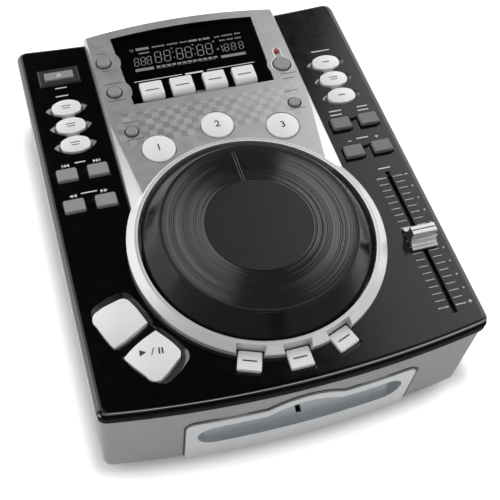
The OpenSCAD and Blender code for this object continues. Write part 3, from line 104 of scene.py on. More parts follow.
def sums(tree, operation, *values):
    """A Math node on plain values or outputs."""
    return put(tree, "ShaderNodeMath", dict(enumerate(values)), operation=operation).outputs[0]


def times(tree, one, two):
    return sums(tree, "MULTIPLY", one, two)


def less(tree, one, two):
    return sums(tree, "SUBTRACT", one, two)


def ramp(tree, value, start, end, low=0.0, high=1.0, curve="SMOOTHSTEP"):
    """low before start and high after end, with a smooth or straight way between them."""
    return put(tree, "ShaderNodeMapRange", {
        "Value": value, "From Min": start, "From Max": end, "To Min": low, "To Max": high,
    }, interpolation_type=curve).outputs[0]


def seen_directly(tree):
    """1 for rays that meet a background: from the camera, in a mirror or through glass."""
    ray = put(tree, "ShaderNodeLightPath").outputs
    mirror_or_glass = sums(tree, "MAXIMUM", ray["Is Glossy Ray"], ray["Is Transmission Ray"])
    return sums(tree, "MAXIMUM", ray["Is Camera Ray"], mirror_or_glass)


studio = bpy.data.worlds.new("studio")
studio.use_nodes = True
scene.world = studio
tree = studio.node_tree
tree.nodes.clear()
way = put(tree, "ShaderNodeTexCoord").outputs["Generated"]
side, depth, height = put(tree, "ShaderNodeSeparateXYZ", {0: way}).outputs
raised = sums(tree, "MAXIMUM", height, 0.05)
across = sums(tree, "DIVIDE", side, raised)
along = sums(tree, "DIVIDE", depth, raised)
rearward = ramp(tree, along, -0.15, 0.35, 0.12)
left_lamp = times(tree, ramp(tree, across, -0.03, -0.27, 0, 1.7), rearward)
far_edge = less(tree, along, times(tree, across, 1.9))
right_lamp = sums(tree, "ADD", ramp(tree, across, 0.3, 0.42, 0, 1.25),
                  ramp(tree, across, 0.47, 0.64, 0, 1.2))
right_lamp = times(tree, right_lamp, ramp(tree, far_edge, -0.1, 0.03, 1, 0.06))
right_lamp = times(tree, right_lamp, rearward)
front_lamp = times(tree, ramp(tree, along, -0.42, -0.6, 0, 0.16),
                   ramp(tree, along, -1.2, -1.7, 1, 0))
strip_lamp = times(tree, ramp(tree, along, -0.82, -0.87, 0, 2.4),
                   ramp(tree, along, -1.02, -1.08, 1, 0))
strip_lamp = times(tree, strip_lamp, ramp(tree, across, -0.35, -0.1))
ceiling_level = 0.03
overhead = sums(tree, "ADD", sums(tree, "ADD", left_lamp, right_lamp), ceiling_level)
overhead = sums(tree, "ADD", overhead, sums(tree, "ADD", front_lamp, strip_lamp))
walls = ramp(tree, depth, -0.5, 0.1, 0.3, 1.0)
low = ramp(tree, height, 0.3, 0.1)
level = put(tree, "ShaderNodeMix", {"Factor": low, "A": overhead, "B": walls}, data_type="FLOAT").outputs[0]
camera_ray = put(tree, "ShaderNodeLightPath").outputs["Is Camera Ray"]
level = put(tree, "ShaderNodeMix", {"Factor": camera_ray, "A": level, "B": 1.0}, data_type="FLOAT").outputs[0]
light = put(tree, "ShaderNodeBackground", {"Color": (1, 1, 1, 1), "Strength": level})
put(tree, "ShaderNodeOutputWorld", {"Surface": light.outputs[0]})

# The sheet glows more away from the player and less near its foot: a painted shadow round the player,
# added to the real soft shadow there.
white_sheet = bpy.data.materials.new("white_sheet")
white_sheet.use_nodes = True
tree = white_sheet.node_tree
tree.nodes.clear()
shadow_inset = 7 * mm
shadow_shift = 3 * mm
shadow_bow = 10 * mm
shadow_width = 18 * mm
half_w = packed_box[1][0]
half_l = packed_box[1][1] - shadow_inset
x, y, _ = put(tree, "ShaderNodeSeparateXYZ", {0: put(tree, "ShaderNodeTexCoord").outputs["Object"]}).outputs
beside = less(tree, sums(tree, "ABSOLUTE", less(tree, x, shadow_shift)), half_w)
bow = times(tree, sums(tree, "POWER", sums(tree, "DIVIDE", x, half_w), 2.0), shadow_bow)
before = less(tree, sums(tree, "MAXIMUM", less(tree, bow, y), y), half_l)
away = [sums(tree, "POWER", sums(tree, "MAXIMUM", gap, 0.0), 2.0) for gap in (beside, before)]
away = sums(tree, "SQRT", sums(tree, "ADD", *away))
# Painted shadow: the glow is low at the player's outline and rises over shadow_width.
painted_shadow_glow = times(tree, ramp(tree, away, 0.0, shadow_width, 0.06, 0.74), seen_directly(tree))
paper = put(tree, "ShaderNodeBsdfDiffuse", {"Color": (0.86, 0.86, 0.86, 1)})
glow = put(tree, "ShaderNodeEmission", {"Color": (1, 1, 1, 1), "Strength": painted_shadow_glow})
both = put(tree, "ShaderNodeAddShader", {0: paper.outputs[0], 1: glow.outputs[0]})
put(tree, "ShaderNodeOutputMaterial", {"Surface": both.outputs[0]})
floor_mesh = bpy.data.meshes.new("floor")
floor_mesh.from_pydata([(-4, -4, 0), (4, -4, 0), (4, 4, 0), (-4, 4, 0)], [], [(0, 1, 2, 3)])
floor_mesh.materials.append(white_sheet)
floor = bpy.data.objects.new("floor", floor_mesh)
scene.collection.objects.link(floor)


# ---------------------------------------------------------------- lower housing
# The tub of the player, moulded in ABS and sprayed with a fine matt grey texture paint. Its
# mouth, sockets and vents are cut in the mould; everything else is screwed into it.
node_body = {node: body for body, nodes in frame["record"]["behaviour"]["bodies"].items() for node in nodes}


def coated(name, colour, roughness, metal=0.0, cloud=0.04, grain=0.0, grain_size=0.5, scuff=0.04, clear=0.0,
           speck=0.0, specular=0.5, clear_index=1.5, pattern=None):
    """A finish: its colour drifts a little, its gloss is scuffed, and grain stands up from it.
    pattern(tree, x, y, colour) may lay a printed pattern over the colour."""
    made = bpy.data.materials.new(name)
    made.use_nodes = True
    made.diffuse_color = (*colour, 1)
    tree = made.node_tree
    tree.nodes.clear()
    place = put(tree, "ShaderNodeTexCoord").outputs["Object"]
    drift = put(tree, "ShaderNodeTexNoise", {"Vector": place, "Scale": 22.0, "Detail": 3.0}).outputs[0]
    shade = ramp(tree, drift, 0.3, 0.7, 1 - cloud, 1 + cloud, "LINEAR")
    fine = put(tree, "ShaderNodeTexNoise", {
        "Vector": place, "Scale": 1 / (grain_size * mm), "Detail": 2.0,
    }).outputs[0]
    if speck:
        shade = times(tree, shade, ramp(tree, fine, 0.35, 0.65, 1 - speck, 1 + speck, "LINEAR"))
    grey = put(tree, "ShaderNodeCombineColor", {0: shade, 1: shade, 2: shade}).outputs[0]
    tint = put(tree, "ShaderNodeMix", {"Factor": 1.0, 6: (*colour, 1), 7: grey},
               data_type="RGBA", blend_type="MULTIPLY").outputs[2]
    if pattern:
        x, y, _ = put(tree, "ShaderNodeSeparateXYZ", {0: place}).outputs
        tint = pattern(tree, x, y, tint)
    rub = put(tree, "ShaderNodeTexNoise", {"Vector": place, "Scale": 130.0, "Detail": 4.0}).outputs[0]
    gloss = ramp(tree, rub, 0.3, 0.7, max(0.02, roughness - scuff), min(1.0, roughness + scuff), "LINEAR")
    shader = put(tree, "ShaderNodeBsdfPrincipled", {
        "Base Color": tint, "Roughness": gloss, "Metallic": metal, "Coat Weight": clear,
        "Coat Roughness": 0.08, "Coat IOR": clear_index, "Specular IOR Level": specular,
    })
    if grain:
        bump = put(tree, "ShaderNodeBump", {"Strength": grain, "Distance": 0.15 * mm, "Height": fine})
        tree.links.new(bump.outputs[0], shader.inputs["Normal"])
    put(tree, "ShaderNodeOutputMaterial", {"Surface": shader.outputs[0]})
    return made


def joined_solid(node):
    """A copy of a node's solid, with its loose triangles joined and its flat faces made whole."""
    solid = bmesh.new()
    solid.from_mesh(frame["nodes"][node].data)
    bmesh.ops.remove_doubles(solid, verts=solid.verts, dist=0.002 * mm)
    bmesh.ops.dissolve_limit(solid, angle_limit=math.radians(0.05), verts=solid.verts, edges=solid.edges)
    return solid


def smoothed(solid, crease):
    """Curved faces are shaded smooth; edges sharper than crease, in degrees, stay sharp."""
    for face in solid.faces:
        face.smooth = True
    for edge in solid.edges:
        edge.smooth = len(edge.link_faces) == 2 and edge.calc_face_angle(0) < math.radians(crease)


def fitted(name, solid, body, materials, slot):
    """Turns a worked solid into a piece that rides on its body."""
    mesh = bpy.data.meshes.new(name)
    solid.to_mesh(mesh)
    solid.free()
    for made in materials if isinstance(materials, list) else [materials]:
        mesh.materials.append(made)
    piece = bpy.data.objects.new(name, mesh)
    scene.collection.objects.link(piece)
    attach(piece, body)
    return piece


def eased(piece, edge, crease=32):
    """Rounds the sharp edges of a moulding by a hair, so that they catch the light."""
    round_over = piece.modifiers.new("eased_edges", "BEVEL")
    round_over.width = edge * mm
    round_over.segments = 2
    round_over.limit_method = "ANGLE"
    round_over.angle_limit = math.radians(crease)
    round_over.miter_outer = "MITER_ARC"
    even = piece.modifiers.new("even_shading", "WEIGHTED_NORMAL")
    even.keep_sharp = True


def finished(node, name, materials, edge=0.0, crease=32, zone=None, worked=None):
    """The visible form of a node: its own solid with eased edges and its real finish. zone gives a
    face's place in the list of materials, and worked reshapes the solid first."""
    solid = joined_solid(node)
    if worked:
        worked(solid)
    if zone:
        for face in solid.faces:
            face.material_index = zone(face.calc_center_median() / mm, face.normal)
    smoothed(solid, crease)
    piece = fitted(name, solid, node_body[node], materials, node)
    if edge:
        eased(piece, edge, crease)
    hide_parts(node)


housing_grey = (0.485, 0.486, 0.488)
texture_paint = coated("texture_paint", housing_grey, 0.7, specular=0.15, grain=0.3, grain_size=0.45,
                       speck=0.04, cloud=0.015)
finished("lower_housing", "housing_shell", texture_paint, edge=0.35)

# ---------------------------------------------------------------- bottom plate, feet and screws
# A pressed sheet of galvanised steel closes the tub from below. Four turned rubber feet are
# stuck on it, and six cross-headed screws go up through it.
galvanised = coated("galvanised_sheet", (0.58, 0.6, 0.61), 0.38, metal=1.0, cloud=0.12, scuff=0.14,
                    grain=0.08, grain_size=3)
foot_rubber = coated("foot_rubber", (0.018, 0.018, 0.019), 0.78, grain=0.25, grain_size=0.6, scuff=0.08)
zinc_screw = coated("zinc_screw", (0.62, 0.62, 0.6), 0.3, metal=1.0, cloud=0.06, scuff=0.1)
finished("bottom_plate", "base_sheet", galvanised, edge=0.15)
finished("rubber_feet", "round_feet", foot_rubber, edge=0.5)
finished("housing_screws", "cross_screws", zinc_screw, edge=0.12)

# ---------------------------------------------------------------- top cover
# The deck: a black high-gloss ABS moulding with rounded edges and a matt rim. The wells round
# its keys are moulded in the same black; those of the cue and play keys have sloping walls.
cover_low, cover_high = (Vector(corner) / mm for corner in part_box("top_cover"))
front_y = cover_low.y
deck_z = cover_high.z
well_depth = 2.2
well_floor_z = deck_z - well_depth
bow_rise = 10
bow_r = (cover_high.x ** 2 + bow_rise ** 2) / (2 * bow_rise)
jog_axis = Vector(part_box("jog_disc")[0]).lerp(Vector(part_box("jog_disc")[1]), 0.5).to_2d() / mm


def surface_of(node):
    """The node's faces at rest, ready to be struck by a line."""
    solid = joined_solid(node)
    faces = BVHTree.FromBMesh(solid)
    solid.free()
    return faces


def middle_of(node):
    low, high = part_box(node)
    return (Vector(low) + Vector(high)).to_2d() / 2 / mm


def front_edge(x, inset=0.0):
    """Where the bowed front edge of the deck lies at x; inset moves it to the rear."""
    return front_y + bow_r - math.sqrt((bow_r - inset) ** 2 - x * x)


def slope_wells(solid):
    """Draws the feet of the outer walls in towards the cue and play keys."""
    wall_foot = 0.9
    key_gap = 1.2
    reach = 26
    upright_half = 4
    keys = [(middle_of(node), surface_of(node)) for node in ("cue_key", "play_key")]
    between = (keys[1][0] - keys[0][0]).normalized()
    centre = (keys[0][0] + keys[1][0]) / 2
    for corner in solid.verts:
        if abs(corner.co.z / mm - well_floor_z) > 0.01:
            continue
        place = corner.co.to_2d() / mm
        if abs((place - centre).dot(between)) < upright_half:
            continue
        middle, faces = min(keys, key=lambda key: (key[0] - place).length)
        away = place - middle
        if away.length > reach:
            continue
        start = Vector((*middle, deck_z - 1)) * mm
        side = faces.ray_cast(start, Vector((*away.normalized(), 0)))[0]
        edge_at = (side - start).length / mm
        if away.length > edge_at + key_gap:
            corner.co.xy = (middle + away.normalized() * (edge_at + wall_foot)) * mm


def deck_zone(at, normal):
    """0 on the flat, 1 below the front edge, 2 in the wells and on the left edge, 3 on a band of the
    front edge's rounding. 2 on the left edge and 3 are more reflective copies of the black gloss:
    a painted sheen and highlight on those sides only."""
    edge_strip = 5
    if at.y < front_edge(at.x) + edge_strip:
        return 1 if normal.y < -0.62 else 3 if normal.y < -0.45 else 0
    if at.x < -cover_high.x + edge_strip:
        return 2 if normal.x < -0.2 else 0
    in_well = well_floor_z - 0.05 < at.z < deck_z - 0.05
    return 2 if in_well and at.x <= cover_high.x - edge_strip else 0


deck_gloss = coated("black_gloss_deck", (0.0011, 0.0011, 0.0012), 0.14, scuff=0.03, grain=0.03,
                    grain_size=0.5)
rim_black = coated("matt_black_rim", (0.002, 0.002, 0.002), 0.5, specular=0.02, grain=0.2, grain_size=0.4)
# The wells' gloss, also laid on the left edge only: a painted sheen on that side.
well_gloss_and_left_sheen = coated("well_gloss_and_left_sheen", (0.003, 0.003, 0.0032), 0.08, scuff=0.02, specular=1.0, clear=0.5)
# A much more reflective copy of the black gloss on a band of the front edge: a painted highlight line.
edge_painted_highlight = coated("edge_painted_highlight", (0.004, 0.004, 0.0042), 0.07, scuff=0.02, specular=1.0, clear=1.0,
                    clear_index=2.2)
finished("top_cover", "black_deck", [deck_gloss, rim_black, well_gloss_and_left_sheen, edge_painted_highlight], edge=0.3,
         worked=slope_wells, zone=deck_zone)
frame_satin = coated("satin_black_frame", (0.03, 0.03, 0.032), 0.3, grain=0.05)
finished("eject_frame", "eject_surround", frame_satin, edge=0.25)


# ---------------------------------------------------------------- signs on the deck
# Small signs screen-printed in white ink: plain arrows and bars over the keys that move through a
# disc, and a minus and a plus at the speed keys and the fader.
def at_plan(outline, x, d, turn=0.0):
    """An outline moved to x, and to d from the front edge, after a turn in degrees."""
    a = math.radians(turn)
    return [(x + (px * math.cos(a) - py * math.sin(a)),
             front_y + d + (px * math.sin(a) + py * math.cos(a))) for px, py in outline]


def box_shape(w, l, x=0.0, y=0.0):
    return [(x - w / 2, y - l / 2), (x + w / 2, y - l / 2), (x + w / 2, y + l / 2), (x - w / 2, y + l / 2)]


def bar(w, l, x, d):
    """A plain bar, w wide and l long, with its middle at x and at d from the front edge."""
    return at_plan(box_shape(w, l), x, d)


def arrow_shape(way, w, l, x=0.0):
    """A triangle that points to the right, or to the left where way is -1."""
    return [(x - way * w / 2, -l / 2), (x + way * w / 2, 0), (x - way * w / 2, l / 2)]


def ring_shape(r, sides):
    return [(r * math.cos(2 * math.pi * i / sides), r * math.sin(2 * math.pi * i / sides))
            for i in range(sides)]


def faced_up(film):
    for face in film.faces:
        face.normal_update()
        if face.normal.z < 0:
            face.normal_flip()


def printed(name, outlines, node, ink, lift=0.04, signs=()):
    """Ink on the upper faces of a node: flat outlines in plan, laid down on the solid below them.
    signs are flat meshes, already in plan."""
    film = bmesh.new()
    for outline in outlines:
        film.faces.new([film.verts.new((x * mm, y * mm, 0)) for x, y in outline])
    for sign in signs:
        film.from_mesh(sign)
    bmesh.ops.remove_doubles(film, verts=film.verts, dist=0.001 * mm)
    bmesh.ops.triangulate(film, faces=film.faces)
    longest = 1.5 * mm
    for _ in range(4):
        long_edges = [edge for edge in film.edges if edge.calc_length() > longest]
        if long_edges and node not in ("top_cover", "display_window"):
            bmesh.ops.subdivide_edges(film, edges=long_edges, cuts=1)
            bmesh.ops.triangulate(film, faces=film.faces)
    faces = surface_of(node)
    for corner in film.verts:
        hit = faces.ray_cast(Vector((corner.co.x, corner.co.y, 1)), Vector((0, 0, -1)))[0]
        corner.co.z = hit.z + lift * mm
    faced_up(film)
    fitted(name, film, node_body[node], ink, node)


white_ink = coated("white_ink", (0.72, 0.73, 0.74), 0.45, speck=0.03)
dark_ink = coated("dark_ink", (0.03, 0.03, 0.032), 0.5)
tick_ink = coated("grey_ink", (0.6, 0.61, 0.62), 0.45, speck=0.03)
deck_signs = []
for x, way in ((-104.0, -1), (-83.9, 1)):
    deck_signs += [at_plan(arrow_shape(way, 2.1, 2.7, way * -1.1), x, 184.7),
                   at_plan(arrow_shape(way, 2.1, 2.7, way * 1.0), x, 184.7),
                   at_plan(box_shape(0.5, 2.7, way * 2.4), x, 184.7)]
    deck_signs += [at_plan(arrow_shape(way, 2.3, 2.7, -1.2), x, 159.6),
                   at_plan(arrow_shape(way, 2.3, 2.7, 1.2), x, 159.6)]
for x, d in ((85.6, 160.6), (112.4, 125.5)):
    deck_signs.append(bar(2.4, 0.55, x, d))
for x, d in ((105.2, 160.6), (112.7, 25.9)):
    deck_signs += [bar(2.6, 0.6, x, d), bar(0.6, 2.6, x, d)]
for x, d, w in ((-94.6, 252.9, 8), (-95.3, 245.4, 8.5), (-94.4, 185.8, 7), (-93.5, 160.5, 10.5),
                (94.7, 246.2, 14), (85.2, 188.6, 9), (84.6, 185.0, 8.5), (105.2, 188.7, 7.5),
                (104.9, 185.4, 8), (95.0, 161.7, 8.5), (99.8, 133.5, 8.5)):
    deck_signs.append(bar(w, 0.9, x, d))
printed("deck_signs", deck_signs, "top_cover", white_ink)


# ---------------------------------------------------------------- centre panel
# The silver top: one moulding with slanting side facets that runs into the raised ring round
# the jog wheel. It is sprayed with silver lacquer; a band of small checks is printed across it.
# The ring and the facets get a lighter copy of the lacquer: a painted highlight.
def check_band(tree, x, y, colour):
    """A band of lighter and darker squares, frayed at both ends, that fades out to the right."""
    square = 5 * mm
    first_x, last_x = -65.8 * mm, 60.6 * mm
    first_y, last_y = (front_y + 186) * mm, (front_y + 213.8) * mm
    column = sums(tree, "FLOOR", sums(tree, "DIVIDE", less(tree, x, first_x), square))
    row = sums(tree, "FLOOR", sums(tree, "DIVIDE", less(tree, y, first_y), square))
    odd = sums(tree, "MODULO", sums(tree, "ABSOLUTE", sums(tree, "ADD", column, row)), 2.0)
    cell = put(tree, "ShaderNodeCombineXYZ", {0: column, 1: row}).outputs[0]
    chance = put(tree, "ShaderNodeTexWhiteNoise", {"Vector": cell}, noise_dimensions="3D").outputs[0]
    inside = times(tree, sums(tree, "GREATER_THAN", x, first_x),
                   sums(tree, "LESS_THAN", x, last_x))
    inside = times(tree, inside, sums(tree, "GREATER_THAN", y, first_y))
    inside = times(tree, inside, sums(tree, "LESS_THAN", y, last_y))
    fray = ramp(tree, x, first_x, first_x + 30 * mm, 0.55, 1.0, "LINEAR")
    inside = times(tree, inside, sums(tree, "LESS_THAN", chance, fray))
    strength = times(tree, inside, ramp(tree, x, -30 * mm, last_x, 0.17, 0.06, "LINEAR"))
    factor = times(tree, strength, less(tree, times(tree, odd, 2.0), 1.0))
    shade = sums(tree, "ADD", 1.0, factor)
    grey = put(tree, "ShaderNodeCombineColor", {0: shade, 1: shade, 2: shade}).outputs[0]
    return put(tree, "ShaderNodeMix", {"Factor": 1.0, 6: colour, 7: grey},
               data_type="RGBA", blend_type="MULTIPLY").outputs[2]


silver_lacquer = coated("silver_lacquer", (0.57, 0.575, 0.58), 0.34, metal=0.75, cloud=0.02, speck=0.06,
                        grain=0.06, grain_size=0.3, pattern=check_band)
# A lighter copy of the silver lacquer: painted highlight for the ring, the facets and the tap bead.
lacquer_painted_highlight = coated("lacquer_painted_highlight", (0.77, 0.775, 0.78), 0.38, metal=0.45, cloud=0.02, speck=0.03)
window_black = coated("window_black", (0.004, 0.004, 0.004), 0.4, specular=0.2)
ring_low_r = 81.4
window_half, window_front, window_floor = 57, 60, 89
facet_in = 40


def panel_zone(at, normal):
    """The ring and the panel's slanting facets get a lighter copy of the lacquer, a painted highlight, and
    the window's walls are black.
    """
    radius = (at.to_2d() - jog_axis).length
    if abs(normal.z) < 0.3 and abs(at.x) < window_half and at.y > window_front and at.z > window_floor:
        return 2
    on_ring = radius < ring_low_r and (normal.z > 0.1 or normal.y < -0.5)
    on_facet = 0.15 < abs(normal.x) < 0.4 and normal.z > 0.9 and abs(at.x) > facet_in
    return int(on_ring or on_facet)


finished("centre_panel", "silver_panel", [silver_lacquer, lacquer_painted_highlight, window_black], edge=0.3,
         zone=panel_zone)

# ---------------------------------------------------------------- display
# A smoked acrylic pane over a dark fluorescent tube. The pane is masked in black from behind, and
# the unlit segments of the tube show through it in pale grey. A red lamp stands on the same board.
pane_gloss = coated("smoked_pane", (0.002, 0.002, 0.002), 0.08, scuff=0.01, specular=0.1)
finished("display_window", "display_pane", pane_gloss, edge=0.15)
pane_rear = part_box("display_window")[1][1] / mm
pane_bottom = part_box("display_window")[0][2] / mm


def skinned(form, pairs):
    """Closes the skin between pairs of rows of corners, each of which runs round the form."""
    for one, two in pairs:
        for i in range(len(one)):
            k = (i + 1) % len(one)
            form.faces.new((one[i], one[k], two[k], two[i]))


# A strip of the same black closes the gap between the pane and the bowed rear wall of its window.
window_rear, window_bow_r = 140.2, 430
rest_half, rest_steps, rest_lap, rest_thick = 53, 14, 0.5, 1.48
rest_x = [-rest_half + 2 * rest_half * i / rest_steps for i in range(rest_steps + 1)]
rest = bmesh.new()
outline = [(x, pane_rear - rest_lap) for x in rest_x]
outline += [(x, window_rear - window_bow_r + math.sqrt(window_bow_r ** 2 - x * x)) for x in rest_x[::-1]]
layers = [[rest.verts.new((x * mm, y * mm, z * mm)) for x, y in outline]
          for z in (pane_bottom, pane_bottom + rest_thick)]
rest.faces.new(layers[0][::-1])
rest.faces.new(layers[1])
skinned(rest, [layers])
fitted("pane_rest", rest, "casing", pane_gloss, "display_window")


def seven_strokes(x, d, w, l, t):
    """The seven strokes of one digit, all drawn, with small gaps between them."""
    gap = 0.25
    strokes = [box_shape(w - t - 2 * gap, t, 0, y) for y in (-l / 2, 0, l / 2)]
    strokes += [box_shape(t, l / 2 - t / 2 - 2 * gap, side * w / 2, y)
                for side in (-1, 1) for y in (-l / 4, l / 4)]
    return [at_plan([(px + 0.12 * py, py) for px, py in stroke], x, d) for stroke in strokes]


segments = []
for x in (-39.0, -34.2, -29.8):
    segments += seven_strokes(x, 261.2, 3.0, 7.6, 0.55)
for x in (-23.0, -16.3, -7.1, -0.7, 8.1, 14.7):
    segments += seven_strokes(x, 262.8, 4.3, 10.4, 0.65)
for x in (27.4, 32.6, 38.3):
    segments += seven_strokes(x, 261.2, 3.0, 7.0, 0.55)
segments += [bar(0.55, 3.0, 24.1, d) for d in (259.3, 263.0)]
segments += [bar(w, l, 20.9, 261.0) for w, l in ((2.2, 0.45), (0.45, 2.2))]
segments += [at_plan(ring_shape(0.45, sides=10), x, d) for x in (-11.7, 3.6) for d in (260.0, 265.5)]
segments += [bar(2.9, 1.8, -24.9 + 3.8 * i, 253.7) for i in range(12)]
segments += [bar(12.6, 0.25, -20 + 15.2 * i, 252.0) for i in range(3)]
segments += [bar(w, l, x, d) for x, d, w, l in (
    (-34.9, 253.4, 13.2, 2.6), (30.2, 252.9, 18.4, 2.6), (-32.2, 273.3, 9.4, 2.4), (5.2, 273.3, 6.4, 1.9),
    (10.6, 273.2, 2.2, 1.9), (15.3, 273.3, 5.2, 1.9), (-11.6, 269.2, 1.2, 1.3), (4.0, 269.2, 1.2, 1.3),
    (19.5, 269.2, 1.2, 1.3))]
segments += [at_plan(box_shape(2.2, 0.35, 0, y), -40.0, 273.0) for y in (-1.0, 1.0)]
segments += [at_plan(box_shape(0.35, 2.2, x), -40.0, 273.0) for x in (-1.0, 1.0)]
for start, end, d in ((-25.3, -15.6, 273.4), (-14.2, -5.9, 273.4), (-4.5, 1.2, 273.4), (21.3, 25.5, 273.2),
                      (26.7, 35.2, 273.3), (36.6, 41.3, 273.4), (23.9, 28.5, 268.9), (29.6, 34.6, 268.9),
                      (35.7, 40.7, 268.9), (-35.8, -27.8, 269.0)):
    blocks = round((end - start) / 1.6)
    pitch = (end - start) / blocks
    segments += [at_plan(box_shape(pitch - 0.4, 1.35), start + pitch * (k + 0.5), d) for k in range(blocks)]
segment_grey = coated("segment_grey", (0.24, 0.245, 0.25), 0.4, speck=0.05)
printed("display_segments", segments, "display_window", segment_grey, lift=0.02)
rule_lines = [bar(w, 0.6, x, 242.8) for x, w in ((-27.9, 34.4), (25.1, 35.0))]
rule_lines.append(bar(13, 1.5, -1.9, 242.4))
printed("display_rules", rule_lines, "display_window", white_ink, lift=0.03)

board_green = coated("board_green", (0.03, 0.16, 0.07), 0.35, cloud=0.2, scuff=0.1, speck=0.1)
switch_black = coated("switch_black", (0.02, 0.02, 0.02), 0.4)
tube_glass = coated("tube_glass", (0.02, 0.03, 0.028), 0.08, scuff=0.02)
board_top = {node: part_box(node)[0][2] / mm + 1.6 for node in ("display_board", "key_boards", "main_board")}


def board_zone(node):
    return lambda at, normal: int(at.z > board_top[node] + 0.02)


finished("display_board", "display_electronics", [board_green, tube_glass],
         zone=board_zone("display_board"), edge=0.12)
lamp_red = coated("lamp_red", (0.55, 0.03, 0.015), 0.12, scuff=0.03)
finished("beat_lamp", "red_lamp", lamp_red)

# ---------------------------------------------------------------- white keys
# Gloss white ABS caps with soft edges over tact switches; the three in front of the ring have black
# skirts of painted shade on their lower sides. The round ones carry the plain numbers 1 to 3, the play
# key an arrow and bars, the cue key nothing and the others one or two short strokes.
key_white = coated("key_white", (0.92, 0.925, 0.93), 0.26, cloud=0.004, scuff=0.015, grain=0.03,
                   grain_size=0.4)
white_keys = ["loop_exit_key", "loop_in_key", "loop_out_key", "sampler_record_key", "sampler_repeat_key",
              "sampler_play_key", "cue_key", "play_key", "scratch_key", "brake_key", "reverse_key",
              "cue_1_key", "cue_2_key", "cue_3_key", "effect_1_key", "effect_2_key", "effect_3_key",
              "effect_4_key"]
skirt_painted_shade = coated("skirt_painted_shade", (0.004, 0.004, 0.004), 0.5, specular=0.2)
cap_thick = 2.8


def capped(node, cap_finish, edge):
    """A key whose thick cap sits on a black skirt: painted shade on the key's lower sides."""
    cap_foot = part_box(node)[1][2] - cap_thick * mm

    def cut(solid):
        bmesh.ops.bisect_plane(solid, geom=solid.verts[:] + solid.edges[:] + solid.faces[:],
                               plane_co=(0, 0, cap_foot), plane_no=(0, 0, 1))

    finished(node, node.replace("_key", "_cap"), [cap_finish, skirt_painted_shade], edge=edge, worked=cut,
             zone=lambda at, normal: int(at.z * mm < cap_foot))


for node in white_keys:
    if node in ("scratch_key", "brake_key", "reverse_key"):
        capped(node, key_white, 0.4)
    else:
        finished(node, node.replace("_key", "_cap"), key_white, edge=0.4)


def number_sign(text, at, size):
    """A plain number as a flat mesh in plan, its middle at a place in millimetres."""
    curve = bpy.data.curves.new("number", "FONT")
    curve.body = text
    curve.size = size * mm
    curve.offset = 0.1 * mm
    curve.align_x = "CENTER"
    curve.align_y = "CENTER"
    shown = bpy.data.objects.new("number", curve)
    scene.collection.objects.link(shown)
    mesh = bpy.data.meshes.new_from_object(shown.evaluated_get(bpy.context.evaluated_depsgraph_get()))
    bpy.data.objects.remove(shown)
    mesh.transform(Matrix.Translation((at[0] * mm, at[1] * mm, 0)))
    return mesh


for i in (1, 2, 3):
    node = f"cue_{i}_key"
    printed(f"number_{i}", [], node, dark_ink, signs=[number_sign(str(i), middle_of(node), 7.5)])


def strokes(node, lines, turn=0.0, gap=2.1, thick=0.7):
    """Short plain strokes in the middle of a key, one above the other."""
    at = middle_of(node)
    outlines = []
    for i, w in enumerate(lines):
        y = gap * ((len(lines) - 1) / 2 - i)
        outlines.append(at_plan(box_shape(w, thick, 0, y), at.x, at.y - front_y, turn))
    printed(node.replace("_key", "_strokes"), outlines, node, dark_ink)


for node in ("loop_exit_key", "loop_in_key", "loop_out_key", "sampler_repeat_key"):
    strokes(node, (6.4, 5.0))
for node in ("sampler_record_key", "sampler_play_key"):
    strokes(node, (5.0,), thick=0.9)
for node in ("effect_1_key", "effect_2_key", "effect_3_key", "effect_4_key"):
    strokes(node, (9.5,), thick=0.9)
for node, turn in (("scratch_key", -20.2), ("brake_key", 0), ("reverse_key", 20.2)):
    strokes(node, (8.4,), turn, thick=0.9)
play_signs = [at_plan(arrow_shape(1, 3.9, 4.2), -86.6, 40.6, -7),
              at_plan([(-1.1, -2.4), (-0.5, -2.4), (1.1, 2.4), (0.5, 2.4)], -81.1, 39.9, -7),
              at_plan(box_shape(1.0, 4.0, -0.9), -76.4, 39.4, -7),
              at_plan(box_shape(1.0, 4.0, 0.9), -76.4, 39.4, -7)]
printed("play_sign", play_signs, "play_key", dark_ink)

# ---------------------------------------------------------------- grey keys
# Satin grey ABS caps: small square ones in pairs with black skirts of painted shade, round ones in
# black rings that paint the shade of their gaps in the panel, and the eject key. The signs beside the
# panel's keys are printed in grey ink, the one on the eject key in white.
def turned(profile, centre, sectors=128, axis="Z"):
    """A closed outline of [radius, height] points, in millimetres, turned about an upright axis at
    centre, or about an axis along y that starts at centre."""
    form = bmesh.new()
    rings = []
    for radius, height in profile:
        if radius == 0:
            corners = [(0, 0, height)]
        else:
            angles = [2 * math.pi * i / sectors for i in range(sectors)]
            corners = [(radius * math.cos(a), radius * math.sin(a), height) for a in angles]
        rings.append([form.verts.new(corner) for corner in corners])
    for below, above in zip(rings, rings[1:] + rings[:1]):
        for i in range(sectors):
            k = (i + 1) % sectors
            corners = [below[i % len(below)], below[k % len(below)],
                       above[k % len(above)], above[i % len(above)]]
            kept = list(dict.fromkeys(corners))
            if len(kept) > 2:
                form.faces.new(kept)
    if axis == "Y":
        bmesh.ops.rotate(form, verts=form.verts, matrix=Matrix.Rotation(math.radians(-90), 3, "X"))
    bmesh.ops.translate(form, verts=form.verts, vec=centre)
    bmesh.ops.scale(form, verts=form.verts, vec=(mm, mm, mm))
    bmesh.ops.recalc_face_normals(form, faces=form.faces)
    return form


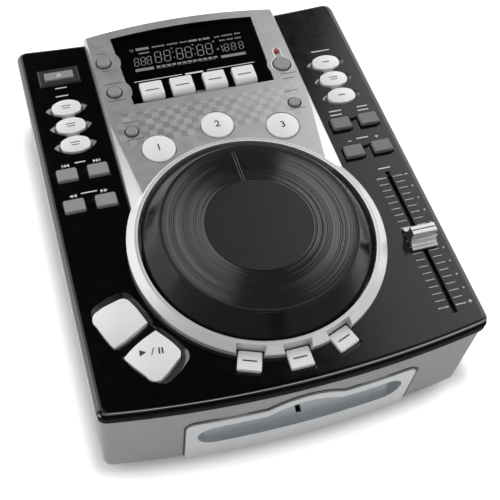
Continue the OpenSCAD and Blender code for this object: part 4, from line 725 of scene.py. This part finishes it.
mark_ink = coated("mark_grey", (0.09, 0.092, 0.095), 0.45)
key_grey = coated("key_grey", (0.31, 0.313, 0.32), 0.42, cloud=0.01, grain=0.1, grain_size=0.35)
key_dark = coated("key_dark_grey", (0.185, 0.186, 0.19), 0.4, cloud=0.01, grain=0.1, grain_size=0.35)
for node in ("eject_key", "time_key", "play_mode_key", "cue_mode_key", "tap_key", "cue_set_key"):
    finished(node, node.replace("_key", "_cap"), key_grey, edge=0.35)
for node in ("skip_back_key", "skip_on_key", "search_back_key", "search_on_key"):
    capped(node, key_grey, 0.35)
for node in ("tempo_key", "range_key", "bend_down_key", "bend_up_key"):
    capped(node, key_dark, 0.35)
shade_ring_black = coated("shade_ring_black", (0.01, 0.01, 0.01), 0.6)
panel_height = 6.5
panel_top = deck_z + panel_height
key_lip = 0.8
shade_ring_in, shade_ring_out, shade_ring_deep, shade_ring_proud = 0.3, 1.0, 0.8, 0.05


def radius_of(node):
    low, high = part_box(node)
    return (high[0] - low[0]) / 2 / mm


# Black rings round the round keys: painted shade in the gaps round them.
for node in ("time_key", "play_mode_key", "cue_mode_key", "cue_set_key", "tap_key"):
    key_r = radius_of(node) - key_lip
    shade_ring = turned([(key_r + shade_ring_in, panel_top - shade_ring_deep), (key_r + shade_ring_out, panel_top - shade_ring_deep),
                   (key_r + shade_ring_out, panel_top + shade_ring_proud), (key_r + shade_ring_in, panel_top + shade_ring_proud)],
                  (*middle_of(node), 0), 48)
    fitted(node.replace("_key", "_seal"), shade_ring, "casing", shade_ring_black, "centre_panel")

# One bead of the panel runs round the tap key and its lamp, in the outline of a keyhole.
key_at, lamp_at = middle_of("tap_key"), middle_of("beat_lamp")
ahead = (lamp_at - key_at).normalized()
sideways = Vector((ahead.y, -ahead.x))
lamp_off = (lamp_at - key_at).length
bead_gap = 0.6
key_bead_r = radius_of("tap_key") + bead_gap
lamp_bead_r = 2.7
half_path = [(key_bead_r * math.sin(math.radians(a)), -key_bead_r * math.cos(math.radians(a)))
             for a in range(0, 151, 6)]
neck_foot = half_path[-1][1]
half_path += [(lamp_bead_r + 0.35, neck_foot + 0.9), (lamp_bead_r, neck_foot + 2.0),
              (lamp_bead_r, neck_foot + 3.2)]
half_path += [(lamp_bead_r * math.cos(math.radians(a)), lamp_off + lamp_bead_r * math.sin(math.radians(a)))
              for a in range(0, 91, 15)]
loop = half_path + [(-px, py) for px, py in reversed(half_path[1:-1])]
bead_section = ((-0.5, -0.6), (-0.5, 0.0), (-0.3, 0.33), (0, 0.45), (0.3, 0.33), (0.5, 0.0), (0.5, -0.6))
bead = bmesh.new()
rows = []
for i, (px, py) in enumerate(loop):
    way = Vector(loop[(i + 1) % len(loop)]) - Vector(loop[i - 1])
    outward = Vector((way.y, -way.x)).normalized()
    row = []
    for out, rise in bead_section:
        corner = key_at + sideways * (px + outward.x * out) + ahead * (py + outward.y * out)
        row.append(bead.verts.new((corner.x * mm, corner.y * mm, (panel_top + rise) * mm)))
    rows.append(row)
skinned(bead, zip(rows, rows[1:] + rows[:1]))
bmesh.ops.recalc_face_normals(bead, faces=bead.faces)
smoothed(bead, 50)
# The bead takes the lighter lacquer: a painted highlight.
fitted("tap_bead", bead, "casing", lacquer_painted_highlight, "centre_panel")
panel_signs = [bar(w, 0.6, x, d) for x, d, w in (
    (-62.4, 272.5, 7.5), (-62.0, 255.5, 6), (-60.3, 242.5, 12), (-60.2, 226.9, 11.5), (-55.9, 206.1, 11.5),
    (-55.6, 191.0, 11), (61.9, 224.8, 12), (61.0, 220.1, 9), (58.6, 208.5, 10), (58.1, 192.0, 11))]
printed("panel_signs", panel_signs, "centre_panel", mark_ink)
eject_at = middle_of("eject_key")
eject_d = eject_at.y - front_y
eject_sign = [at_plan([(-1.9, -0.3), (1.9, -0.3), (0, 1.6)], eject_at.x, eject_d),
              at_plan(box_shape(3.8, 0.6, 0, -1.1), eject_at.x, eject_d)]
printed("eject_sign", eject_sign, "eject_key", white_ink)

# ---------------------------------------------------------------- jog wheel
# A moulded platter with a bevelled satin rim turns on a steel shaft in a bush. Its top is a vinyl-like
# disc whose fine grooves run round the middle and split the light into soft sectors.
satin_black = coated("satin_black", (0.008, 0.008, 0.009), 0.17, specular=0.38, scuff=0.03)
steel = coated("bright_steel", (0.62, 0.62, 0.63), 0.25, metal=1.0)
finished("jog_platter", "jog_rim", satin_black, edge=0.2)
finished("jog_shaft", "jog_axle", steel)
finished("jog_bearing", "bearing_plate", galvanised)
disc_low, disc_high = (Vector(corner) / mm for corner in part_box("jog_disc"))
disc_r = (disc_high.x - disc_low.x) / 2
groove_in_r = 33.6
groove_out_r = 59.0
disc_chamfer = 0.25
vinyl = coated("disc_black", (0.006, 0.0085, 0.0068), 0.36, specular=0.5, scuff=0.02)
groove_gloss = coated("groove_gloss", (0.012, 0.0105, 0.0095), 0.13, specular=0.7, scuff=0.03)
disc_top = disc_high.z
sunk = 0.25
plate_form = turned([
    (0, disc_low.z), (disc_r, disc_low.z), (disc_r, disc_top - disc_chamfer),
    (disc_r - disc_chamfer, disc_top), (groove_out_r + 0.3, disc_top), (groove_out_r + 0.3, disc_top - sunk),
    (groove_in_r - 0.3, disc_top - sunk), (groove_in_r - 0.3, disc_top), (0, disc_top),
], (*jog_axis, 0))
smoothed(plate_form, 30)
disc = fitted("disc_plate", plate_form, "jog_wheel", vinyl, "jog_disc")
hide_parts("jog_disc")


def group(name, **inputs):
    """A new Geometry Nodes tree with named inputs; returns the tree, its input node and socket names."""
    tree = bpy.data.node_groups.new(name, "GeometryNodeTree")
    tree.interface.new_socket("Geometry", in_out="OUTPUT", socket_type="NodeSocketGeometry")
    ids = {}
    for key, kind in inputs.items():
        ids[key] = tree.interface.new_socket(key, in_out="INPUT", socket_type="NodeSocket" + kind).identifier
    return tree, put(tree, "NodeGroupInput").outputs, ids


def grown(name, tree, ids, values, body):
    """Runs a Geometry Nodes tree with these values and keeps its result as a plain mesh."""
    seed = bpy.data.objects.new("seed", bpy.data.meshes.new("seed"))
    scene.collection.objects.link(seed)
    modifier = seed.modifiers.new("grow", "NODES")
    modifier.node_group = tree
    for key, value in values.items():
        modifier[ids[key]] = value
    mesh = bpy.data.meshes.new_from_object(seed.evaluated_get(bpy.context.evaluated_depsgraph_get()))
    bpy.data.objects.remove(seed)
    mesh.name = name
    piece = bpy.data.objects.new(name, mesh)
    scene.collection.objects.link(piece)
    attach(piece, body)


# Grooves: a flat grid bent into a ring, with its height folded up and down along the radius.
tree, given, groove_ids = group("groove_rings", Inner="Float", Outer="Float", Pitch="Float", Depth="Float",
                                Height="Float", Axis="Vector", Across="Int", Round="Int", Finish="Material")
grid = put(tree, "GeometryNodeMeshGrid", {
    "Size X": 1.0, "Size Y": 1.0, "Vertices X": given["Across"], "Vertices Y": given["Round"],
}).outputs["Mesh"]
u, v, _ = put(tree, "ShaderNodeSeparateXYZ", {0: put(tree, "GeometryNodeInputPosition").outputs[0]}).outputs
width = less(tree, given["Outer"], given["Inner"])
radius = sums(tree, "ADD", given["Inner"], times(tree, sums(tree, "ADD", u, 0.5), width))
angle = times(tree, sums(tree, "ADD", v, 0.5), 2 * math.pi)
outside = less(tree, radius, given["Inner"])
phase = sums(tree, "FRACT", sums(tree, "DIVIDE", outside, given["Pitch"]))
wave = sums(tree, "MAXIMUM", sums(tree, "COSINE", times(tree, phase, 2 * math.pi)), 0.0)
spread = put(tree, "ShaderNodeTexNoise", {"W": times(tree, radius, 800.0)}, noise_dimensions="1D")
cut = times(tree, given["Depth"], ramp(tree, spread.outputs[0], 0.35, 0.6, 0.4, 1.0))
fall = times(tree, less(tree, wave, 1.0), cut)
bent = put(tree, "ShaderNodeCombineXYZ", {
    0: times(tree, radius, sums(tree, "COSINE", angle)),
    1: times(tree, radius, sums(tree, "SINE", angle)),
    2: sums(tree, "ADD", given["Height"], fall),
}).outputs[0]
placed = put(tree, "ShaderNodeVectorMath", {0: bent, 1: given["Axis"]}, operation="ADD").outputs[0]
rings = put(tree, "GeometryNodeSetPosition", {"Geometry": grid, "Position": placed}).outputs[0]
rings = put(tree, "GeometryNodeMergeByDistance", {"Geometry": rings, "Distance": 0.001 * mm}).outputs[0]
rings = put(tree, "GeometryNodeRealizeInstances", {"Geometry": rings}).outputs[0]
rings = put(tree, "GeometryNodeSetMaterial", {"Geometry": rings, "Material": given["Finish"]}).outputs[0]
put(tree, "NodeGroupOutput", {0: rings})
groove_pitch = 1.0
groove_count = round((groove_out_r - groove_in_r) / groove_pitch)
grown("disc_grooves", tree, groove_ids, {
    "Inner": groove_in_r * mm, "Outer": groove_out_r * mm,
    "Pitch": (groove_out_r - groove_in_r) / groove_count * mm,
    "Depth": 0.1 * mm, "Height": (disc_top - 0.01) * mm, "Axis": (jog_axis.x * mm, jog_axis.y * mm, 0.0),
    "Across": 4 * groove_count + 1, "Round": 193, "Finish": groove_gloss,
}, "jog_wheel")


def line_sheet(name, outlines, z, ink, body, slot):
    """Flat printed shapes at one height."""
    film = bmesh.new()
    for outline in outlines:
        film.faces.new([film.verts.new((x * mm, y * mm, z * mm)) for x, y in outline])
    faced_up(film)
    fitted(name, film, body, ink, slot)


line_ink = coated("line_grey", (0.16, 0.155, 0.15), 0.4)
jog_marks = [bar(0.32, 23.6, jog_axis.x + side * 0.85, jog_axis.y - front_y + 45.1)
             for side in (-1, 1)]
line_sheet("jog_marks", jog_marks, disc_top + 0.01, line_ink, "jog_wheel", "jog_disc")

# ---------------------------------------------------------------- pitch fader
# A slide potentiometer under the deck; its lever comes up through a slot and carries a silvered cap
# with dark ends, two white strips and one black line. A scale is printed beside the slot.
cap_silver = coated("cap_silver", (0.72, 0.73, 0.735), 0.3, metal=0.45, scuff=0.03)
cap_end = coated("cap_end", (0.035, 0.035, 0.036), 0.2, scuff=0.03)
finished("fader_cap", "fader_knob", [cap_silver, cap_end], edge=0.2,
         zone=lambda at, normal: int(abs(normal.x) > 0.8))
finished("fader_unit", "slide_pot", galvanised, edge=0.2)
cap_at = middle_of("fader_cap")
cap_d = cap_at.y - front_y
printed("cap_strips", [at_plan(box_shape(15.8, 2.0, 0, y), cap_at.x, cap_d) for y in (-1.6, 1.6)],
        "fader_cap", key_white)
printed("cap_line", [bar(15.8, 0.7, cap_at.x, cap_d)], "fader_cap", dark_ink, lift=0.05)

row_tree, given, row_ids = group("row_of_marks", Unit="Object", Start="Vector", Step="Vector",
                                 Count="Int", Finish="Material")
line = put(row_tree, "GeometryNodeMeshLine", {
    "Count": given["Count"], "Start Location": given["Start"], "Offset": given["Step"],
}, mode="OFFSET").outputs[0]
unit = put(row_tree, "GeometryNodeObjectInfo", {"Object": given["Unit"]}).outputs["Geometry"]
row = put(row_tree, "GeometryNodeInstanceOnPoints", {"Points": line, "Instance": unit}).outputs[0]
row = put(row_tree, "GeometryNodeRealizeInstances", {"Geometry": row}).outputs[0]
row = put(row_tree, "GeometryNodeSetMaterial", {"Geometry": row, "Material": given["Finish"]}).outputs[0]
put(row_tree, "NodeGroupOutput", {0: row})


def in_row(name, outline, depth, start, step, count, finish, body):
    """Equal small forms in a row: a flat outline, or a block where depth isn't 0, all in millimetres."""
    form = bmesh.new()
    face = form.faces.new([form.verts.new((x * mm, y * mm, 0)) for x, y in outline])
    if depth:
        made = bmesh.ops.extrude_face_region(form, geom=[face])["geom"]
        raised_corners = [item for item in made if isinstance(item, bmesh.types.BMVert)]
        bmesh.ops.translate(form, verts=raised_corners, vec=(0, 0, depth * mm))
        bmesh.ops.recalc_face_normals(form, faces=form.faces)
    mesh = bpy.data.meshes.new("unit")
    form.to_mesh(mesh)
    form.free()
    unit_form = bpy.data.objects.new("unit", mesh)
    scene.collection.objects.link(unit_form)
    grown(name, row_tree, row_ids, {
        "Unit": unit_form, "Start": [c * mm for c in start], "Step": [c * mm for c in step],
        "Count": count, "Finish": finish,
    }, body)
    bpy.data.objects.remove(unit_form)


print_z = deck_z + 0.04
scale_start = 25.5
scale_step = 5.0
scale_steps = 20
for name, x in (("scale_left", 94.8), ("scale_right", 106.3)):
    in_row(name, box_shape(6.2, 0.45), 0, (x, front_y + scale_start, print_z), (0, scale_step, 0),
           scale_steps + 1, tick_ink, "casing")
scale_end = scale_start + scale_steps * scale_step
ends = [bar(6.6, 0.8, x, d) for x in (94.8, 106.3) for d in (scale_start, scale_end)]
printed("scale_ends", ends, "top_cover", white_ink)
in_row("scale_dots", ring_shape(0.6, sides=12), 0, (112.7, front_y + scale_start + 2 * scale_step, print_z),
       (0, 2 * scale_step, 0), 9, tick_ink, "casing")

# ---------------------------------------------------------------- disc mouth
# The bezel: a bowed moulding in silver lacquer with a finger scoop that leads up to the slot. Its faces
# that don't face the front, the scoop's among them, take a lighter copy of the lacquer: painted light. A
# thin black rubber gasket closes the joint round its edge, widened on the right as painted shade.
bezel_silver = coated("bezel_silver", (0.5, 0.51, 0.52), 0.36, metal=0.6, speck=0.04, cloud=0.01)
# A lighter copy of the bezel's lacquer for the faces that don't face the front: painted light in the scoop.
scoop_painted_light = coated("scoop_silver_painted_light", (0.6, 0.63, 0.65), 0.42, metal=0.5, speck=0.04, cloud=0.01)
finished("mouth_bezel", "mouth_surround", [bezel_silver, scoop_painted_light], edge=0.4,
         zone=lambda at, normal: int(normal.y > -0.9))
bezel_low, bezel_high = (Vector(corner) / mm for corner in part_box("mouth_bezel"))
mouth_x = (bezel_low.x + bezel_high.x) / 2
housing_step = 1.5
bezel_top_z = bezel_low.z + 51.5
arch_half = 23.8
bezel_corner = 7
half = bezel_high.x - mouth_x
side_foot, side_pitch, side_rows = 3, 6, 7
path = [(half, bezel_low.z + side_foot + i * side_pitch) for i in range(side_rows)]
path += [(half - bezel_corner + bezel_corner * math.cos(math.radians(a)),
          bezel_top_z - bezel_corner + bezel_corner * math.sin(math.radians(a))) for a in range(0, 91, 15)]
path += [(arch_half * i / 10, bezel_top_z + (bezel_high.z - bezel_top_z) * (1 - (i / 10) ** 2))
         for i in range(10, -1, -1)]
path += [(-px, pz) for px, pz in reversed(path[:-1])]
# On the right side the black band is widened: painted shade for the shadow line along that side.
right_shade_band = 2.6
gasket_rubber = coated("gasket_rubber", (0.006, 0.006, 0.006), 0.6)
gasket = bmesh.new()
rows = []
for i, (px, pz) in enumerate(path):
    ahead = Vector(path[min(i + 1, len(path) - 1)]) - Vector(path[max(i - 1, 0)])
    outward = Vector((ahead.y, -ahead.x)).normalized()
    section = []
    for along_out, out in ((0, -0.4), (0, 0.25), (1, 0.25), (1, -0.4)):
        cx = px + outward.x * along_out * (right_shade_band if outward.x > 0.9 else 1) + mouth_x
        cy = front_edge(cx, housing_step - out)
        section.append(gasket.verts.new((cx * mm, cy * mm, (pz + outward.y * along_out) * mm)))
    rows.append(section)
skinned(gasket, zip(rows, rows[1:]))
gasket.faces.new(rows[0])
gasket.faces.new(list(reversed(rows[-1])))
bmesh.ops.recalc_face_normals(gasket, faces=gasket.faces)
fitted("bezel_gasket", gasket, "casing", gasket_rubber, "mouth_bezel")

# ---------------------------------------------------------------- disc drive
# The drive is a folded steel frame with a spindle motor, a laser sled on two rods and a rubber feed
# roller that draws a disc in.
drive_steel = coated("drive_steel", (0.56, 0.58, 0.6), 0.32, metal=1.0, cloud=0.08, scuff=0.1)
sled_black = coated("sled_black", (0.02, 0.02, 0.02), 0.45, grain=0.1)
lens_glass = coated("lens_glass", (0.05, 0.08, 0.2), 0.05, scuff=0.01)
hub_ivory = coated("hub_ivory", (0.6, 0.58, 0.5), 0.4)
sled_high = Vector(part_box("laser_sled")[1]) / mm
finished("drive_chassis", "drive_frame", drive_steel, edge=0.15)
finished("drive_hub", "disc_hub", hub_ivory, edge=0.15)
finished("sled_screw", "lead_screw", steel)
finished("laser_sled", "laser_carriage", [sled_black, lens_glass], edge=0.15,
         zone=lambda at, normal: int(at.z > sled_high.z - 0.1))
finished("feed_roller", "rubber_roller", foot_rubber)

# ---------------------------------------------------------------- boards and power supply
# Green glass-fibre boards with switches, chips and cans, and a small mains supply with a taped
# transformer, two capacitors and a finned heat sink.
for node in ("main_board", "key_boards"):
    finished(node, node + "_fitted", [board_green, switch_black], zone=board_zone(node), edge=0.1)
tinned = coated("tinned_legs", (0.66, 0.66, 0.65), 0.3, metal=1.0)
leg_z = board_top["main_board"]
board_d, chip_d = 62, 32
for name, x in (("chip_legs_left", -30.4), ("chip_legs_right", -5.6)):
    in_row(name, box_shape(1.0, 0.5), 0.5, (mouth_x + x, front_y + board_d + chip_d, leg_z), (0, 1.27, 0), 16,
           tinned, "casing")
supply_low = Vector(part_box("power_supply")[0]) / mm
supply_board_z = 16.7
tape_from, tape_to = 29, 66
tape_yellow = coated("tape_yellow", (0.62, 0.42, 0.06), 0.4)
board_brown = coated("board_brown", (0.22, 0.13, 0.05), 0.5, cloud=0.15)
can_black = coated("can_black", (0.02, 0.02, 0.03), 0.3)


def supply_zone(at, normal):
    if at.z < supply_board_z:
        return 0
    x = at.x - supply_low.x
    return 1 if tape_from < x < tape_to else (2 if x < tape_from else 3)


finished("power_supply", "mains_supply", [board_brown, tape_yellow, can_black, tinned],
         zone=supply_zone, edge=0.2)

# ---------------------------------------------------------------- rear sockets and switch
# Phono sockets with gilt sleeves round coloured inserts and a start jack on one board, and a black
# moulding with the mains inlet, its pins and the frame in which the power rocker tilts.
inlet_black = coated("inlet_black", (0.02, 0.02, 0.021), 0.4, grain=0.1)
gilt = coated("gilt", (0.83, 0.6, 0.22), 0.22, metal=1.0)
jack_high = Vector(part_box("audio_jacks")[1]) / mm
sleeve_foot_y, body_foot_y = 143.2, 128
finished("audio_jacks", "socket_row", [board_green, switch_black, gilt], edge=0.15,
         zone=lambda at, normal: 2 if at.y > sleeve_foot_y else int(at.y > body_foot_y))
finished("power_inlet", "mains_inlet", inlet_black, edge=0.25)
finished("power_switch", "power_rocker", inlet_black, edge=0.25)
jack_z = 34
sleeve_tip = jack_high.y
insert_colours = ((-88, (0.6, 0.02, 0.02)), (-74, (0.7, 0.7, 0.68)), (-56, (0.8, 0.35, 0.02)))
for i, (x, colour) in enumerate(insert_colours):
    plastic = coated(f"insert_{i + 1}", colour, 0.35)
    sleeve = turned([(1.75, -1.2), (3.4, -1.2), (3.4, 0.15), (1.75, 0.15)],
                    (x, sleeve_tip, jack_z), 32, "Y")
    smoothed(sleeve, 30)
    fitted(f"socket_insert_{i + 1}", sleeve, "casing", plastic, "audio_jacks")
